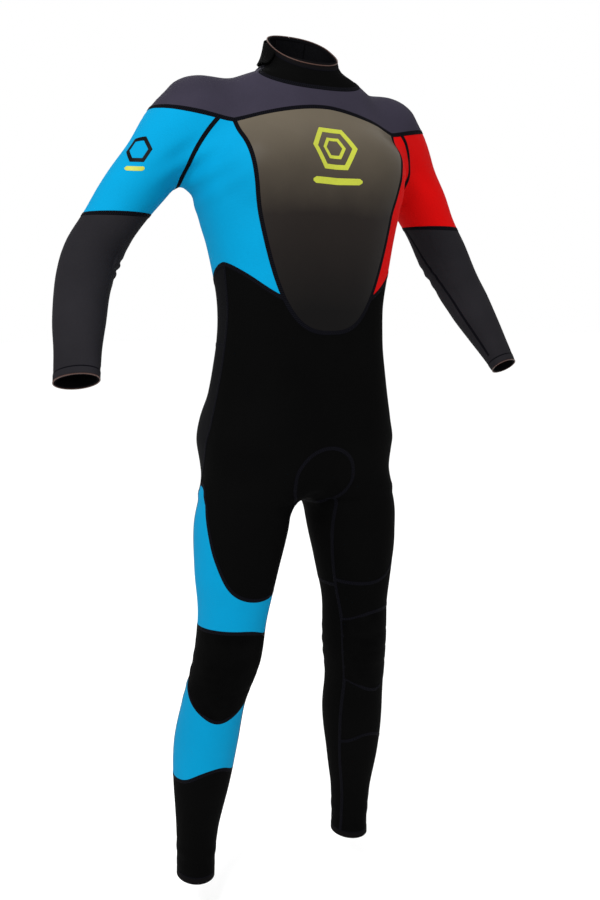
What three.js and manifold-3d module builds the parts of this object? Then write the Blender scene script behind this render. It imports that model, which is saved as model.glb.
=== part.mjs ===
/**
 * Full-length back-zip wetsuit, standing open and empty as if on an unseen wearer.
 *
 * Millimetres, +Z up, front towards -Y, the wearer's left towards +X. Heights are above the
 * ground under the wearer's feet until the last group moves the origin to the neck opening.
 * One smooth body form carries every neoprene panel: a quad cage is settled on the form, cut
 * along the seams, sorted into panels, and each panel is given its thickness inwards.
 */
import * as THREE from 'three';
import Module from 'manifold-3d';
import { mergeVertices } from 'three/addons/utils/BufferGeometryUtils.js';

const wasm = await Module();
wasm.setup();

// ---------------------------------------------------------------- driving dimensions

const NEOPRENE = 3; // panel thickness
const CLEARANCE = 0.3; // gap between neighbouring pieces
const NECK_OPENING = new THREE.Vector3(0, -10, 1523); // centre of the collar's rim
const COLLAR_RIM = { halfWidth: 54, halfDepth: 48, rise: 32 }; // tilted, low in front
const ANKLE_HEIGHT = 86; // lower edge of the legs
const HEM = { height: 12, raise: 0.8, thickness: 4.4 };
const BINDING = { height: 5, raise: 0.6, thickness: 4.2 };
const KNEE = { x: 131, y: 33, z: 495, above: 575, below: 410 };
const ELBOW = { x: 345, y: 51, z: 1194, below: 85 };
const SLEEVE_SEAM_HEIGHT = 1256;
const ZIP = { top: 1412, bottom: 1062, slot: 18, pitch: 10 };
const ZIP_SLOT_FOOT = ZIP.bottom - 8;
const COLLAR_SLIT = 4; // between the collar's two back edges

/** Torso sections: height, centre y, half width, front y, back y. */
const TORSO = [
  [795, 5, 50, -25, 65],
  [815, 5, 120, -70, 108],
  [845, 6, 158, -92, 128],
  [885, 6, 172, -104, 134],
  [925, 6, 165, -108, 130],
  [965, 5, 158, -108, 114],
  [1010, 3, 151, -106, 96],
  [1060, 0, 145, -105, 88],
  [1110, -3, 143, -106, 90],
  [1160, -3, 149, -111, 92],
  [1210, 0, 159, -116, 94],
  [1250, 5, 170, -118, 96],
  [1300, 10, 184, -119, 99],
  [1350, 12, 188, -111, 101],
  [1400, 14, 164, -90, 103],
  [1432, 17, 152, -76, 100],
  [1457, 20, 134, -68, 89],
  [1476, 20, 106, -62, 78],
  [1490, 14, 72, -58, 67],
  [1510, 2, 58, -57, 54],
  [1560, -8, 53, -57, 36],
];

/** Leg sections: height, centre x, centre y, half width, half depth. */
const LEG = [
  [60, 165, 100, 33, 41],
  [110, 164, 98, 33, 40],
  [150, 163, 95, 35, 40],
  [190, 162, 91, 38, 42],
  [270, 158, 80, 49, 53],
  [350, 152, 71, 55, 62],
  [430, 144, 52, 54, 59],
  [510, 129, 29, 57, 63],
  [590, 122, 17, 58, 65],
  [670, 116, 13, 69, 77],
  [750, 107, 10, 78, 87],
  [790, 101, 8, 77, 87],
  [830, 94, 8, 70, 80],
  [880, 86, 10, 40, 45],
];

/** Arm axis points from shoulder to wrist: x, y, z, wide half, thin half. */
const ARM = [
  [172, 20, 1404, 67, 67],
  [206, 28, 1377, 58, 60],
  [240, 36, 1337, 48, 51],
  [272, 43, 1297, 45, 48],
  [300, 48, 1257, 43, 45],
  [336, 51, 1200, 42, 44],
  [358, 34, 1150, 43, 41],
  [376, 2, 1093, 40, 35],
  [388, -27, 1048, 36, 28],
  [398, -52, 1008, 35, 21],
];
const ARM_WIDE_WAY = new THREE.Vector3(0.75, 0.66, 0); // the way the wrist is widest

/** Muscle swellings, mirrored: centre x, y, z, then half sizes. */
const SWELLINGS = [
  [74, -66, 1330, 78, 53, 62], // chest
  [76, 60, 897, 76, 74, 90], // seat
  [96, 78, 1350, 56, 40, 90], // shoulder blade
];
const BLEND = { swelling: 26, legs: 14, hips: 42, shoulders: 38 };
const TORSO_SQUARENESS = 2.35;
const RIM_FACING = new THREE.Vector3(0, -COLLAR_RIM.rise, COLLAR_RIM.halfDepth).normalize();

// Seam lines, each a few points of one coordinate against another.
const SIDE_SEAM = [
  [60, 118], [200, 112], [300, 106], [400, 90], [500, 62], [700, 52], [822, 42], [890, 6], [1182, -27],
];
const INSEAM = [[60, 86], [110, 80], [212, 65], [392, 27], [524, -12], [633, -17], [716, -31], [800, -55]];
const WAIST_SEAM = [
  [-100, 1122], [-75, 1156], [-51, 1174], [-27, 1182], [0, 1174], [40, 1152], [110, 1128],
];
const THIGH_SEAM = [
  [-70, 642], [-40, 638], [0, 638], [30, 656], [54, 708], [70, 764], [92, 818], [125, 830],
];
const KNEE_TOP_SEAM = [[-70, 563], [-40, 566], [0, 580], [90, 579], [125, 575]];
const KNEE_BOTTOM_SEAM = [[-70, 411], [12, 412], [48, 431], [92, 460], [125, 485]];
const NECK_SEAM = { halfWidth: 70, centre: 4, halfDepth: 66, height: 1495, frontSlope: 0.58 };
const YOKE = { back: 1400, front: 1424, armhole: 1396, armholeX: 144, topX: 244 };
const ARMHOLE = { x: 62, z: 1300, radius: 144 };
const CHEST = { halfWidth: 143, tip: 1074, tall: 322 };
const SEAT_SEAM_HEIGHT = 790;
const LEG_TOP = 822;
const INNER_THIGH = { low: 630, back: 55 };
const BACK_SEAM_X = 118;
const GUSSET = { z: 835, radius: 54, back: 80 };
const KNEE_SIDE = { top: 578, bottom: 460, topAngle: 122, slant: -12 };
const SHIN_SEAM = [[-70, 300], [-37, 306], [-7, 320], [21, 314], [55, 295], [86, 291], [125, 291]];

// ---------------------------------------------------------------- the body form

const clamp = (value, low, high) => Math.min(Math.max(value, low), high);

/** A smooth curve through rows of [position, value, ...], held level past its ends. */
function smoothCurve(rows) {
  const last = rows.length - 1;
  const slopes = rows.map((row, i) => {
    const before = rows[Math.max(i - 1, 0)];
    const after = rows[Math.min(i + 1, last)];
    return row.map((value, k) => (after[k] - before[k]) / (after[0] - before[0]));
  });
  return (position) => {
    const at = clamp(position, rows[0][0], rows[last][0]);
    let i = last - 1;
    while (i > 0 && rows[i][0] > at) i -= 1;
    const step = rows[i + 1][0] - rows[i][0];
    const t = (at - rows[i][0]) / step;
    const rise = t * t * (3 - 2 * t);
    return rows[i].slice(1).map((value, k) => {
      const end = rows[i + 1][k + 1];
      const leave = slopes[i][k + 1] * step * t * (1 - t) * (1 - t);
      const arrive = slopes[i + 1][k + 1] * step * t * t * (t - 1);
      return value + (end - value) * rise + leave + arrive;
    });
  };
}

/** A curve sampled finely once, so that the many calls on it are quick. */
function sampled(rows, step) {
  const curve = smoothCurve(rows);
  const start = rows[0][0];
  const count = Math.ceil((rows.at(-1)[0] - start) / step);
  const samples = Array.from({ length: count + 2 }, (_, i) => curve(start + i * step));
  return (position) => {
    const at = clamp((position - start) / step, 0, count);
    const i = Math.floor(at);
    return samples[i].map((value, k) => value + (samples[i + 1][k] - value) * (at - i));
  };
}

const torsoSection = sampled(TORSO, 2);
const legSection = sampled(LEG, 2);

/** Distance outside a section's outline, corrected for how fast the outline changes with height. */
function sectionDistance(section, nextSection, squareness, step) {
  const radiusAt = ([width, depth, dx, dy]) => {
    const reach = Math.abs(dx / width) ** squareness + Math.abs(dy / depth) ** squareness;
    return Math.hypot(dx, dy) / Math.max(reach, 1e-9) ** (1 / squareness);
  };
  const radius = radiusAt(section);
  const slope = (radiusAt(nextSection) - radius) / step;
  return (Math.hypot(section[2], section[3]) - radius) / Math.hypot(1, slope);
}

function torsoDistance(x, y, z) {
  const shape = (height) => {
    const [centre, width, front, back] = torsoSection(height);
    return [width, y < centre ? centre - front : back - centre, x, y - centre];
  };
  const distance = sectionDistance(shape(z), shape(z + 4), TORSO_SQUARENESS, 4);
  const under = TORSO[0][0] - z;
  return under > 0 ? Math.hypot(Math.max(distance, 0), under) : distance;
}

function legDistance(x, y, z) {
  const shape = (height) => {
    const [cx, cy, width, depth] = legSection(height);
    return [width, depth, x - cx, y - cy];
  };
  const distance = sectionDistance(shape(z), shape(z + 4), 2, 4);
  const over = z - LEG.at(-1)[0];
  return over > 0 ? Math.hypot(Math.max(distance, 0), over) : distance;
}

/** Stations along the arm: place, direction, the two section ways and their half sizes. */
function armStations(count) {
  let along = 0;
  const rows = ARM.map((row, i) => {
    if (i > 0) along += Math.hypot(...[0, 1, 2].map((k) => row[k] - ARM[i - 1][k]));
    return [along, ...row];
  });
  const curve = smoothCurve(rows);
  return Array.from({ length: count + 1 }, (_, i) => {
    const at = (along * i) / count;
    const [x, y, z, wide, thin] = curve(at);
    const ahead = curve(Math.min(at + 2, along));
    const behind = curve(Math.max(at - 2, 0));
    const direction = new THREE.Vector3(...[0, 1, 2].map((k) => ahead[k] - behind[k])).normalize();
    const wideWay = ARM_WIDE_WAY.clone();
    wideWay.addScaledVector(direction, -ARM_WIDE_WAY.dot(direction)).normalize();
    const thinWay = direction.clone().cross(wideWay);
    return { at, place: new THREE.Vector3(x, y, z), direction, wideWay, thinWay, wide, thin };
  });
}

const STATIONS = armStations(48);
const ARM_LENGTH = STATIONS.at(-1).at;

/** The nearest place on the arm's axis: station number with a fraction. */
function armPosition(x, y, z) {
  let best = Infinity;
  let position = 0;
  for (let i = 0; i + 1 < STATIONS.length; i += 1) {
    const a = STATIONS[i].place;
    const b = STATIONS[i + 1].place;
    const [ux, uy, uz] = [b.x - a.x, b.y - a.y, b.z - a.z];
    const [vx, vy, vz] = [x - a.x, y - a.y, z - a.z];
    const t = clamp((ux * vx + uy * vy + uz * vz) / (ux * ux + uy * uy + uz * uz), 0, 1);
    const miss = (vx - t * ux) ** 2 + (vy - t * uy) ** 2 + (vz - t * uz) ** 2;
    if (miss < best) {
      best = miss;
      position = i + t;
    }
  }
  return position;
}

/** The arm's frame at a station number with a fraction. */
function armFrame(position) {
  const i = Math.min(Math.floor(position), STATIONS.length - 2);
  const [a, b, t] = [STATIONS[i], STATIONS[i + 1], position - i];
  const mix = (key) => a[key].clone().lerp(b[key], t);
  const between = (key) => a[key] + (b[key] - a[key]) * t;
  return {
    at: between('at'), place: mix('place'), direction: mix('direction'), wideWay: mix('wideWay'),
    thinWay: mix('thinWay'), wide: between('wide'), thin: between('thin'),
  };
}

function armDistance(x, y, z) {
  if (x < 90) return 1000;
  const frame = armFrame(armPosition(x, y, z));
  const offset = new THREE.Vector3(x, y, z).sub(frame.place);
  const u = offset.dot(frame.wideWay);
  const v = offset.dot(frame.thinWay);
  const back = frame.at < 1 ? offset.dot(frame.direction) : 0;
  const reach = Math.sqrt((u / frame.wide) ** 2 + (v / frame.thin) ** 2 + (back / frame.wide) ** 2);
  return Math.hypot(u, v, back) * (1 - 1 / Math.max(reach, 1e-5));
}

function swellingDistance([cx, cy, cz, rx, ry, rz], x, y, z) {
  const [u, v, w] = [(x - cx) / rx, (y - cy) / ry, (z - cz) / rz];
  const reach = Math.hypot(u, v, w);
  return (reach * (reach - 1)) / Math.max(Math.hypot(u / rx, v / ry, w / rz), 1e-9);
}

function blend(a, b, width) {
  const overlap = Math.max(width - Math.abs(a - b), 0) / width;
  return Math.min(a, b) - overlap * overlap * width * 0.25;
}

/** Signed distance outside the body form. */
function formDistance(x, y, z) {
  let body = torsoDistance(x, y, z);
  for (const swelling of SWELLINGS) {
    body = blend(body, swellingDistance(swelling, Math.abs(x), y, z), BLEND.swelling);
  }
  const legs = blend(legDistance(x, y, z), legDistance(-x, y, z), BLEND.legs);
  body = blend(body, legs, BLEND.hips);
  return blend(body, armDistance(Math.abs(x), y, z), BLEND.shoulders);
}

/** The way straight out of the form at a point. */
function outward(p) {
  const e = 0.6;
  return new THREE.Vector3(
    formDistance(p.x + e, p.y, p.z) - formDistance(p.x - e, p.y, p.z),
    formDistance(p.x, p.y + e, p.z) - formDistance(p.x, p.y - e, p.z),
    formDistance(p.x, p.y, p.z + e) - formDistance(p.x, p.y, p.z - e),
  ).divideScalar(2 * e);
}

/** Moves a point onto the form, in place. */
function settle(p, times = 3) {
  for (let i = 0; i < times; i += 1) {
    const way = outward(p);
    const distance = clamp(formDistance(p.x, p.y, p.z) / Math.max(way.lengthSq(), 0.05), -20, 20);
    p.addScaledVector(way, -distance);
  }
  return p;
}

// ---------------------------------------------------------------- the cage

const AROUND = { torso: 24, leg: 14, arm: 12, armRows: 6 };
const CROTCH_ROW = 812;
const TORSO_ROWS = [850, 890, 930, 970, 1010, 1050, 1090, 1130, 1170, 1210, 1250, 1290];
const LEG_ROWS = [
  768, 728, 686, 644, 604, 565, 526, 490, 455, 412, 365, 318, 270, 222, 175, 130, ANKLE_HEIGHT,
];
const ARM_ROWS = { first: 70, step: 37 }; // distances along the arm

const cage = { points: [], faces: [], open: new Map() };

function addPoint(x, y, z) {
  return cage.points.push(new THREE.Vector3(x, y, z)) - 1;
}

/** Quads between two closed rings, the second below or beyond the first. */
function bridge(ring, next, flip = false) {
  ring.forEach((a, i) => {
    const j = (i + 1) % ring.length;
    const quad = [a, next[i], next[j], ring[j]];
    cage.faces.push(flip ? quad.reverse() : quad);
  });
}

/** A ring of the torso; column 0 is at the wearer's right, then front, left and back. */
function torsoRing(z) {
  const [centre, width, front, back] = torsoSection(z);
  return Array.from({ length: AROUND.torso }, (_, column) => {
    const angle = Math.PI * (1 + (2 * column) / AROUND.torso);
    const [c, s] = [Math.cos(angle), Math.sin(angle)];
    const power = 2 / TORSO_SQUARENESS;
    const depth = s < 0 ? centre - front : back - centre;
    return addPoint(
      width * Math.sign(c) * Math.abs(c) ** power,
      centre + depth * Math.sign(s) * Math.abs(s) ** power,
      z,
    );
  });
}

function legRing(z, side) {
  const [cx, cy, width, depth] = legSection(z);
  const start = side < 0 ? Math.PI : 0;
  return Array.from({ length: AROUND.leg }, (_, k) => {
    const angle = start + (2 * Math.PI * k) / AROUND.leg;
    return addPoint(side * cx + width * Math.cos(angle), cy + depth * Math.sin(angle), z);
  });
}

/** The row at the crotch: the torso's columns outside, and three points across between the legs. */
function crotchRow() {
  const row = torsoRing(CROTCH_ROW);
  cage.points[row[6]].set(0, -48, CROTCH_ROW);
  cage.points[row[18]].set(0, 62, CROTCH_ROW);
  const middle = addPoint(0, 6, CROTCH_ROW - 8);
  const right = [0, 1, 2, 3, 4, 5, 6].map((c) => row[c]);
  const left = [12, 13, 14, 15, 16, 17, 18].map((c) => row[c]);
  return {
    row,
    right: [...right, middle, ...[18, 19, 20, 21, 22, 23].map((c) => row[c])],
    left: [...left, middle, ...[6, 7, 8, 9, 10, 11].map((c) => row[c])],
  };
}

/** A point of the neck's ring, numbered from the right side round the front. */
function neckPoint(k) {
  const angle = Math.PI * (1 + k / 6);
  const y = NECK_SEAM.centre + (NECK_SEAM.halfDepth + 2) * Math.sin(angle);
  return addPoint(NECK_SEAM.halfWidth * Math.cos(angle), y, neckSeamHeight(y) + 2);
}

/** The chest and shoulders above the armpits: two sheets that share the shoulder line. */
function shoulders(armpitRow) {
  const rows = AROUND.armRows;
  const half = AROUND.torso / 2;
  const shoulderPlaces = [[190, 22, 1462], [152, 20, 1478], [112, 18, 1480]];
  const top = [];
  for (let column = 0; column <= half; column += 1) {
    const place = shoulderPlaces[Math.min(column, half - column)];
    const side = column < half / 2 ? -1 : 1;
    top.push(place ? addPoint(side * place[0], place[1], place[2]) : neckPoint(column - 3));
  }
  const topBack = [];
  for (let column = half; column <= 2 * half; column += 1) {
    const mirror = 2 * half - column;
    const onShoulder = mirror <= 3 || mirror >= half - 3;
    topBack.push(onShoulder ? top[mirror] : neckPoint(column - 9));
  }
  const sheet = (bottom, upper) => {
    const lines = [bottom];
    for (let i = 1; i < rows; i += 1) {
      lines.push(bottom.map((low, k) => {
        const p = cage.points[low].clone().lerp(cage.points[upper[k]], i / rows);
        return addPoint(p.x, p.y, p.z);
      }));
    }
    lines.push(upper);
    for (let i = 0; i < rows; i += 1) {
      for (let k = 0; k < half; k += 1) {
        cage.faces.push([lines[i][k], lines[i][k + 1], lines[i + 1][k + 1], lines[i + 1][k]]);
      }
    }
    return lines;
  };
  const front = sheet(armpitRow.slice(0, half + 1), top);
  const back = sheet([...armpitRow.slice(half), armpitRow[0]], topBack);
  const armhole = (ahead, behind, aheadEnd, behindEnd) => [
    ...ahead.map((line) => line[aheadEnd]),
    ...behind.slice(1, -1).reverse().map((line) => line[behindEnd]),
  ];
  return {
    right: armhole(front, back, 0, half),
    left: armhole(back, front, 0, half),
    neck: [...top.slice(3, 10), ...topBack.slice(4, 9)],
  };
}

function armRings(armhole, side) {
  const first = ARM_ROWS.first;
  const count = Math.round((ARM_LENGTH - first) / ARM_ROWS.step);
  let ring = armhole;
  for (let i = 0; i <= count; i += 1) {
    const at = first + ((ARM_LENGTH - first) * i) / count;
    const frame = armFrame((at / ARM_LENGTH) * (STATIONS.length - 1));
    const inner = new THREE.Vector3(-1, 0, 0);
    inner.addScaledVector(frame.direction, -inner.dot(frame.direction)).normalize();
    const ahead = frame.direction.clone().cross(inner).multiplyScalar(-1);
    if (ahead.y > 0) ahead.negate();
    const next = armhole.map((_, k) => {
      const angle = ((side < 0 ? 1 : -1) * 2 * Math.PI * k) / armhole.length;
      const way = inner.clone().multiplyScalar(Math.cos(angle)).addScaledVector(ahead, Math.sin(angle));
      const [u, v] = [way.dot(frame.wideWay), way.dot(frame.thinWay)];
      const radius = 1 / Math.hypot(u / frame.wide, v / frame.thin);
      const p = frame.place.clone().addScaledVector(way, radius);
      return addPoint(side * p.x, p.y, p.z);
    });
    bridge(ring, next, true);
    ring = next;
  }
  const facing = STATIONS.at(-1).direction.clone();
  facing.x *= side;
  ring.forEach((i) => cage.open.set(i, facing));
}

/** Evens out the cage on the form; the open ends stay where they are. */
function relax(times) {
  const near = cage.points.map(() => new Set());
  for (const face of cage.faces) {
    face.forEach((a, i) => {
      const b = face[(i + 1) % face.length];
      near[a].add(b);
      near[b].add(a);
    });
  }
  for (let n = 0; n < times; n += 1) {
    const moved = cage.points.map((p, i) => {
      if (cage.open.has(i)) return p;
      const middle = new THREE.Vector3();
      near[i].forEach((k) => middle.add(cage.points[k]));
      middle.divideScalar(near[i].size);
      return settle(p.clone().lerp(middle, 0.5), n < times - 1 ? 1 : 4);
    });
    cage.points = moved;
  }
}

function buildCage() {
  const crotch = crotchRow();
  let ring = crotch.row;
  for (const z of TORSO_ROWS) {
    const next = torsoRing(z);
    bridge(ring, next, true);
    ring = next;
  }
  for (const side of [-1, 1]) {
    let legTop = side < 0 ? crotch.right : crotch.left;
    for (const z of LEG_ROWS) {
      const next = legRing(z, side);
      bridge(legTop, next);
      legTop = next;
    }
    legTop.forEach((i) => cage.open.set(i, new THREE.Vector3(0, 0, -1)));
  }
  const { right, left, neck } = shoulders(ring);
  armRings(right, -1);
  armRings(left, 1);
  let collar = neck;
  for (const share of [0.25, 0.5, 0.75, 1]) {
    const next = neck.map((low, k) => {
      const angle = Math.PI * (1 + k / 6);
      const rim = new THREE.Vector3(
        COLLAR_RIM.halfWidth * Math.cos(angle),
        COLLAR_RIM.halfDepth * Math.sin(angle),
        COLLAR_RIM.rise * Math.sin(angle),
      ).add(NECK_OPENING);
      for (let i = 0; i < 6; i += 1) rim.addScaledVector(RIM_FACING, belowRim(settle(rim, 1)));
      const p = cage.points[low].clone().lerp(rim, share);
      return addPoint(p.x, p.y, p.z);
    });
    bridge(collar, next, true);
    collar = next;
  }
  collar.forEach((i) => cage.open.set(i, RIM_FACING));
  relax(30);
}

// ---------------------------------------------------------------- seams

const curveOf = (rows) => {
  const curve = smoothCurve(rows);
  return (position) => curve(position)[0];
};
const sideSeamY = curveOf(SIDE_SEAM);
const inseamY = curveOf(INSEAM);
const waistHeight = curveOf(WAIST_SEAM);
const thighSeamHeight = curveOf(THIGH_SEAM);
const kneeTopHeight = curveOf(KNEE_TOP_SEAM);
const kneeBottomHeight = curveOf(KNEE_BOTTOM_SEAM);
const shinSeamHeight = curveOf(SHIN_SEAM);

function neckSeamHeight(y) {
  return NECK_SEAM.height + NECK_SEAM.frontSlope * Math.min(y, 0);
}

/** The yoke dips at the armholes, and rises to the breastbone and over the shoulders. */
function yokeHeight(p) {
  const { back, front, armhole, armholeX, topX } = YOKE;
  const x = Math.abs(p.x);
  if (onBackSide(p)) return back + 17 * (x / topX) ** 2;
  if (x > armholeX) return armhole + (21 * (x - armholeX)) / (topX - armholeX);
  return front - (front - armhole) * (x / armholeX) ** 1.6;
}

/** Positive on the sleeve side: an arc over the armpit, upright below its centre. */
function armholeSide(p) {
  const x = Math.abs(p.x) - ARMHOLE.x;
  return (p.z > ARMHOLE.z ? Math.hypot(x, p.z - ARMHOLE.z) : x) - ARMHOLE.radius;
}

/** Negative inside the chest panel, whose edges close in to a point below. */
function chestSide(p) {
  return (Math.abs(p.x) / CHEST.halfWidth) ** 3 - (p.z - CHEST.tip) / CHEST.tall;
}

/** Angle round the leg in degrees: 0 in front, positive outwards. */
function legAngle(p) {
  const [cx, cy] = legSection(p.z);
  return THREE.MathUtils.radToDeg(Math.atan2(Math.abs(p.x) - cx, cy - p.y));
}

/** Positive behind the side seam and the inseam. */
function behindLegSeams(p) {
  const outer = Math.abs(p.x) > legSection(p.z)[0];
  return p.y - (outer ? sideSeamY(p.z) : inseamY(p.z));
}

function gussetSide(p) {
  return Math.hypot(p.x, p.z - GUSSET.z) - GUSSET.radius;
}

/** The knee pad's outer edge slants back on its way down. */
function kneeOuterSide(p) {
  const { top, bottom, slant, topAngle } = KNEE_SIDE;
  return legAngle(p) - (topAngle + (slant * (top - p.z)) / (top - bottom));
}

/** Distance past the elbow along the forearm. */
function pastElbow(p) {
  return armFrame(armPosition(Math.abs(p.x), p.y, p.z)).at - ELBOW_AT - ELBOW.below;
}
const ELBOW_AT = armFrame(armPosition(ELBOW.x, ELBOW.y, ELBOW.z)).at;

function armEnd(p) {
  return armFrame(armPosition(Math.abs(p.x), p.y, p.z)).at - ARM_LENGTH + HEM.height;
}

/** Depth below the plane of the collar's rim. */
function belowRim(p) {
  return NECK_OPENING.clone().sub(p).dot(RIM_FACING);
}

const isArm = (p) => armholeSide(p) > 0 && p.z > 950 && p.z < yokeHeight(p);
const isLeg = (p) => p.z < LEG_TOP && !isArm(p);
const inFront = (p) => (isLeg(p) ? behindLegSeams(p) : p.y - sideSeamY(p.z)) < 0;
const isTorso = (p) => !isArm(p) && p.z > LEG_TOP && p.z < yokeHeight(p);
const onBackSide = (p) => p.y > 20;
const aboveNeckSeam = (p) => p.z - neckSeamHeight(p.y);
const inGusset = (p) => gussetSide(p) < 0 && p.y < GUSSET.back;
const nearHeight = (p, z, reach) => Math.abs(p.z - z) < reach;

/** Each seam: a function that is zero on it, and where it runs. */
const SEAMS = [
  // collar, yoke, armholes and sleeves
  { side: aboveNeckSeam, where: (p) => p.z > 1400 && Math.abs(p.x) < 130 },
  { side: (p) => p.z - yokeHeight(p), where: (p) => p.z > 1340 && aboveNeckSeam(p) < 0 },
  { side: armholeSide, where: (p) => p.z < yokeHeight(p) && p.z > 1230 && Math.abs(p.x) < 260 },
  { side: (p) => p.z - SLEEVE_SEAM_HEIGHT, where: (p) => isArm(p) && p.z > 1200 },
  { side: pastElbow, where: (p) => isArm(p) && p.z < 1200 },
  { side: armEnd, where: (p) => isArm(p) && p.z < 1060 },
  // chest, waist and sides
  { side: chestSide, where: (p) => isTorso(p) && p.y < -20 && p.z > 1040 },
  {
    side: (p) => p.z - waistHeight(p.y),
    where: (p) => isTorso(p) && nearHeight(p, 1150, 70) && chestSide(p) > 0,
  },
  { side: (p) => p.y - sideSeamY(p.z), where: (p) => isTorso(p) && p.z < waistHeight(p.y) },
  // back panels, and the slots for the zip and through the collar
  {
    side: (p) => Math.abs(p.x) - BACK_SEAM_X,
    where: (p) => isTorso(p) && onBackSide(p) && p.z > waistHeight(p.y),
  },
  {
    side: (p) => Math.abs(p.x) - ZIP.slot,
    where: (p) => onBackSide(p) && p.z > ZIP_SLOT_FOOT - 4 && aboveNeckSeam(p) < 0,
  },
  {
    side: (p) => p.z - ZIP_SLOT_FOOT,
    where: (p) => isTorso(p) && !inFront(p) && nearHeight(p, ZIP_SLOT_FOOT, 80),
  },
  { side: (p) => Math.abs(p.x) - COLLAR_SLIT / 2, where: (p) => onBackSide(p) && aboveNeckSeam(p) > 0 },
  { side: (p) => belowRim(p) - BINDING.height, where: (p) => aboveNeckSeam(p) > 10 },
  // gusset, seat and legs
  { side: gussetSide, where: (p) => p.z < 900 && Math.abs(p.x) < 80 && p.y < GUSSET.back + 5 },
  { side: (p) => p.y - GUSSET.back, where: (p) => gussetSide(p) < 0 },
  { side: behindLegSeams, where: (p) => isLeg(p) && gussetSide(p) > 0 },
  {
    side: (p) => p.z - SEAT_SEAM_HEIGHT,
    where: (p) => !inFront(p) && gussetSide(p) > 0 && nearHeight(p, SEAT_SEAM_HEIGHT, 70),
  },
  {
    side: (p) => p.z - thighSeamHeight(legAngle(p)),
    where: (p) => nearHeight(p, 725, 135) && inFront(p) && gussetSide(p) > 0,
  },
  {
    side: (p) => p.z - INNER_THIGH.low,
    where: (p) => isLeg(p) && !inFront(p) && legAngle(p) < 0 && p.y < 70 && p.z > KNEE.above,
  },
  {
    side: (p) => p.y - INNER_THIGH.back,
    where: (p) => legAngle(p) < 0 && !inFront(p) && nearHeight(p, 710, 80),
  },
  // knees, shins and ankles
  { side: (p) => p.z - kneeTopHeight(legAngle(p)), where: (p) => nearHeight(p, 570, 60) && inFront(p) },
  { side: (p) => p.z - kneeBottomHeight(legAngle(p)), where: (p) => nearHeight(p, 440, 80) && inFront(p) },
  { side: kneeOuterSide, where: (p) => inFront(p) && legAngle(p) > 30 && besideKneePad(p) },
  {
    side: (p) => p.z - KNEE.below,
    where: (p) => nearHeight(p, KNEE.below, 60) && (!inFront(p) || kneeBottomHeight(legAngle(p)) > p.z),
  },
  { side: (p) => p.z - KNEE.above, where: (p) => nearHeight(p, KNEE.above, 60) && !inFront(p) },
  { side: (p) => p.z - shinSeamHeight(legAngle(p)), where: (p) => nearHeight(p, 305, 60) && inFront(p) },
  { side: (p) => p.z - ANKLE_HEIGHT - HEM.height, where: (p) => p.z < 160 },
];

/** At a height that the knee pad spans at this angle. */
function besideKneePad(p) {
  const angle = legAngle(p);
  return p.z < kneeTopHeight(angle) && p.z > kneeBottomHeight(angle);
}

/** The name of the panel that a point on the form belongs to. */
function panelAt(p) {
  const name = (part) => `${part}_${p.x < 0 ? 'right' : 'left'}`;
  if (aboveNeckSeam(p) > 0 && Math.abs(p.x) < 130 && p.z > 1400) {
    if (onBackSide(p) && Math.abs(p.x) < COLLAR_SLIT / 2) return null;
    return belowRim(p) > BINDING.height ? 'collar' : 'collar_binding';
  }
  const overZip = onBackSide(p) && Math.abs(p.x) < ZIP.slot && p.z > ZIP_SLOT_FOOT;
  if (overZip) return null;
  if (p.z > 1340 && p.z > yokeHeight(p)) return 'shoulder_yoke';
  if (isArm(p)) {
    if (armEnd(p) > 0) return name('wrist_hem');
    if (p.z > SLEEVE_SEAM_HEIGHT) return name('upper_sleeve');
    return pastElbow(p) > 0 ? name('forearm_sleeve') : name('elbow_section');
  }
  if (p.z > 1000 && p.y < -20 && chestSide(p) < 0) return 'chest_panel';
  return p.z > LEG_TOP ? torsoPanelAt(p, name) : legPanelAt(p, name);
}

function torsoPanelAt(p, name) {
  if (p.z > waistHeight(p.y)) {
    return onBackSide(p) && Math.abs(p.x) < BACK_SEAM_X ? name('back_panel') : name('side_panel');
  }
  if (inGusset(p)) return 'crotch_gusset';
  if (inFront(p)) return 'front_panel';
  return p.z > ZIP_SLOT_FOOT ? name('back_panel') : 'seat_panel';
}

function legPanelAt(p, name) {
  if (inGusset(p)) return 'crotch_gusset';
  const angle = legAngle(p);
  if (p.z < ANKLE_HEIGHT + HEM.height) return name('ankle_hem');
  if (inFront(p)) {
    if (p.z > thighSeamHeight(angle)) return 'front_panel';
    if (p.z > kneeTopHeight(angle)) return name('thigh_panel');
    if (p.z > kneeBottomHeight(angle)) return kneeOuterSide(p) > 0 ? name('knee_side') : name('knee_pad');
    if (p.z > KNEE.below) return name('knee_side');
    return p.z > shinSeamHeight(angle) ? name('shin_panel') : name('lower_leg');
  }
  if (angle < 0 && p.z > INNER_THIGH.low && p.y < INNER_THIGH.back) return name('inner_thigh');
  if (p.z > SEAT_SEAM_HEIGHT) return 'seat_panel';
  if (p.z > KNEE.above) return name('thigh_back');
  return p.z > KNEE.below ? name('knee_back') : name('calf_panel');
}

// ---------------------------------------------------------------- cutting along a seam

const edgeKey = (a, b) => (a < b ? `${a}_${b}` : `${b}_${a}`);

function middleOf(points, face) {
  const middle = new THREE.Vector3();
  face.forEach((i) => middle.add(points[i]));
  return middle.divideScalar(face.length);
}

/** Finds where a seam crosses the edge between two points on the form. */
function crossing(a, b, side) {
  const rising = side(b) > 0;
  let [low, high] = [0, 1];
  let p = a;
  for (let i = 0; i < 9; i += 1) {
    const t = (low + high) / 2;
    p = settle(a.clone().lerp(b, t), 1);
    if (side(p) > 0 === rising) high = t;
    else low = t;
  }
  return p;
}

const NEAR_SEAM = { moved: 0.22, held: 0.06 }; // shares of an edge

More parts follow.
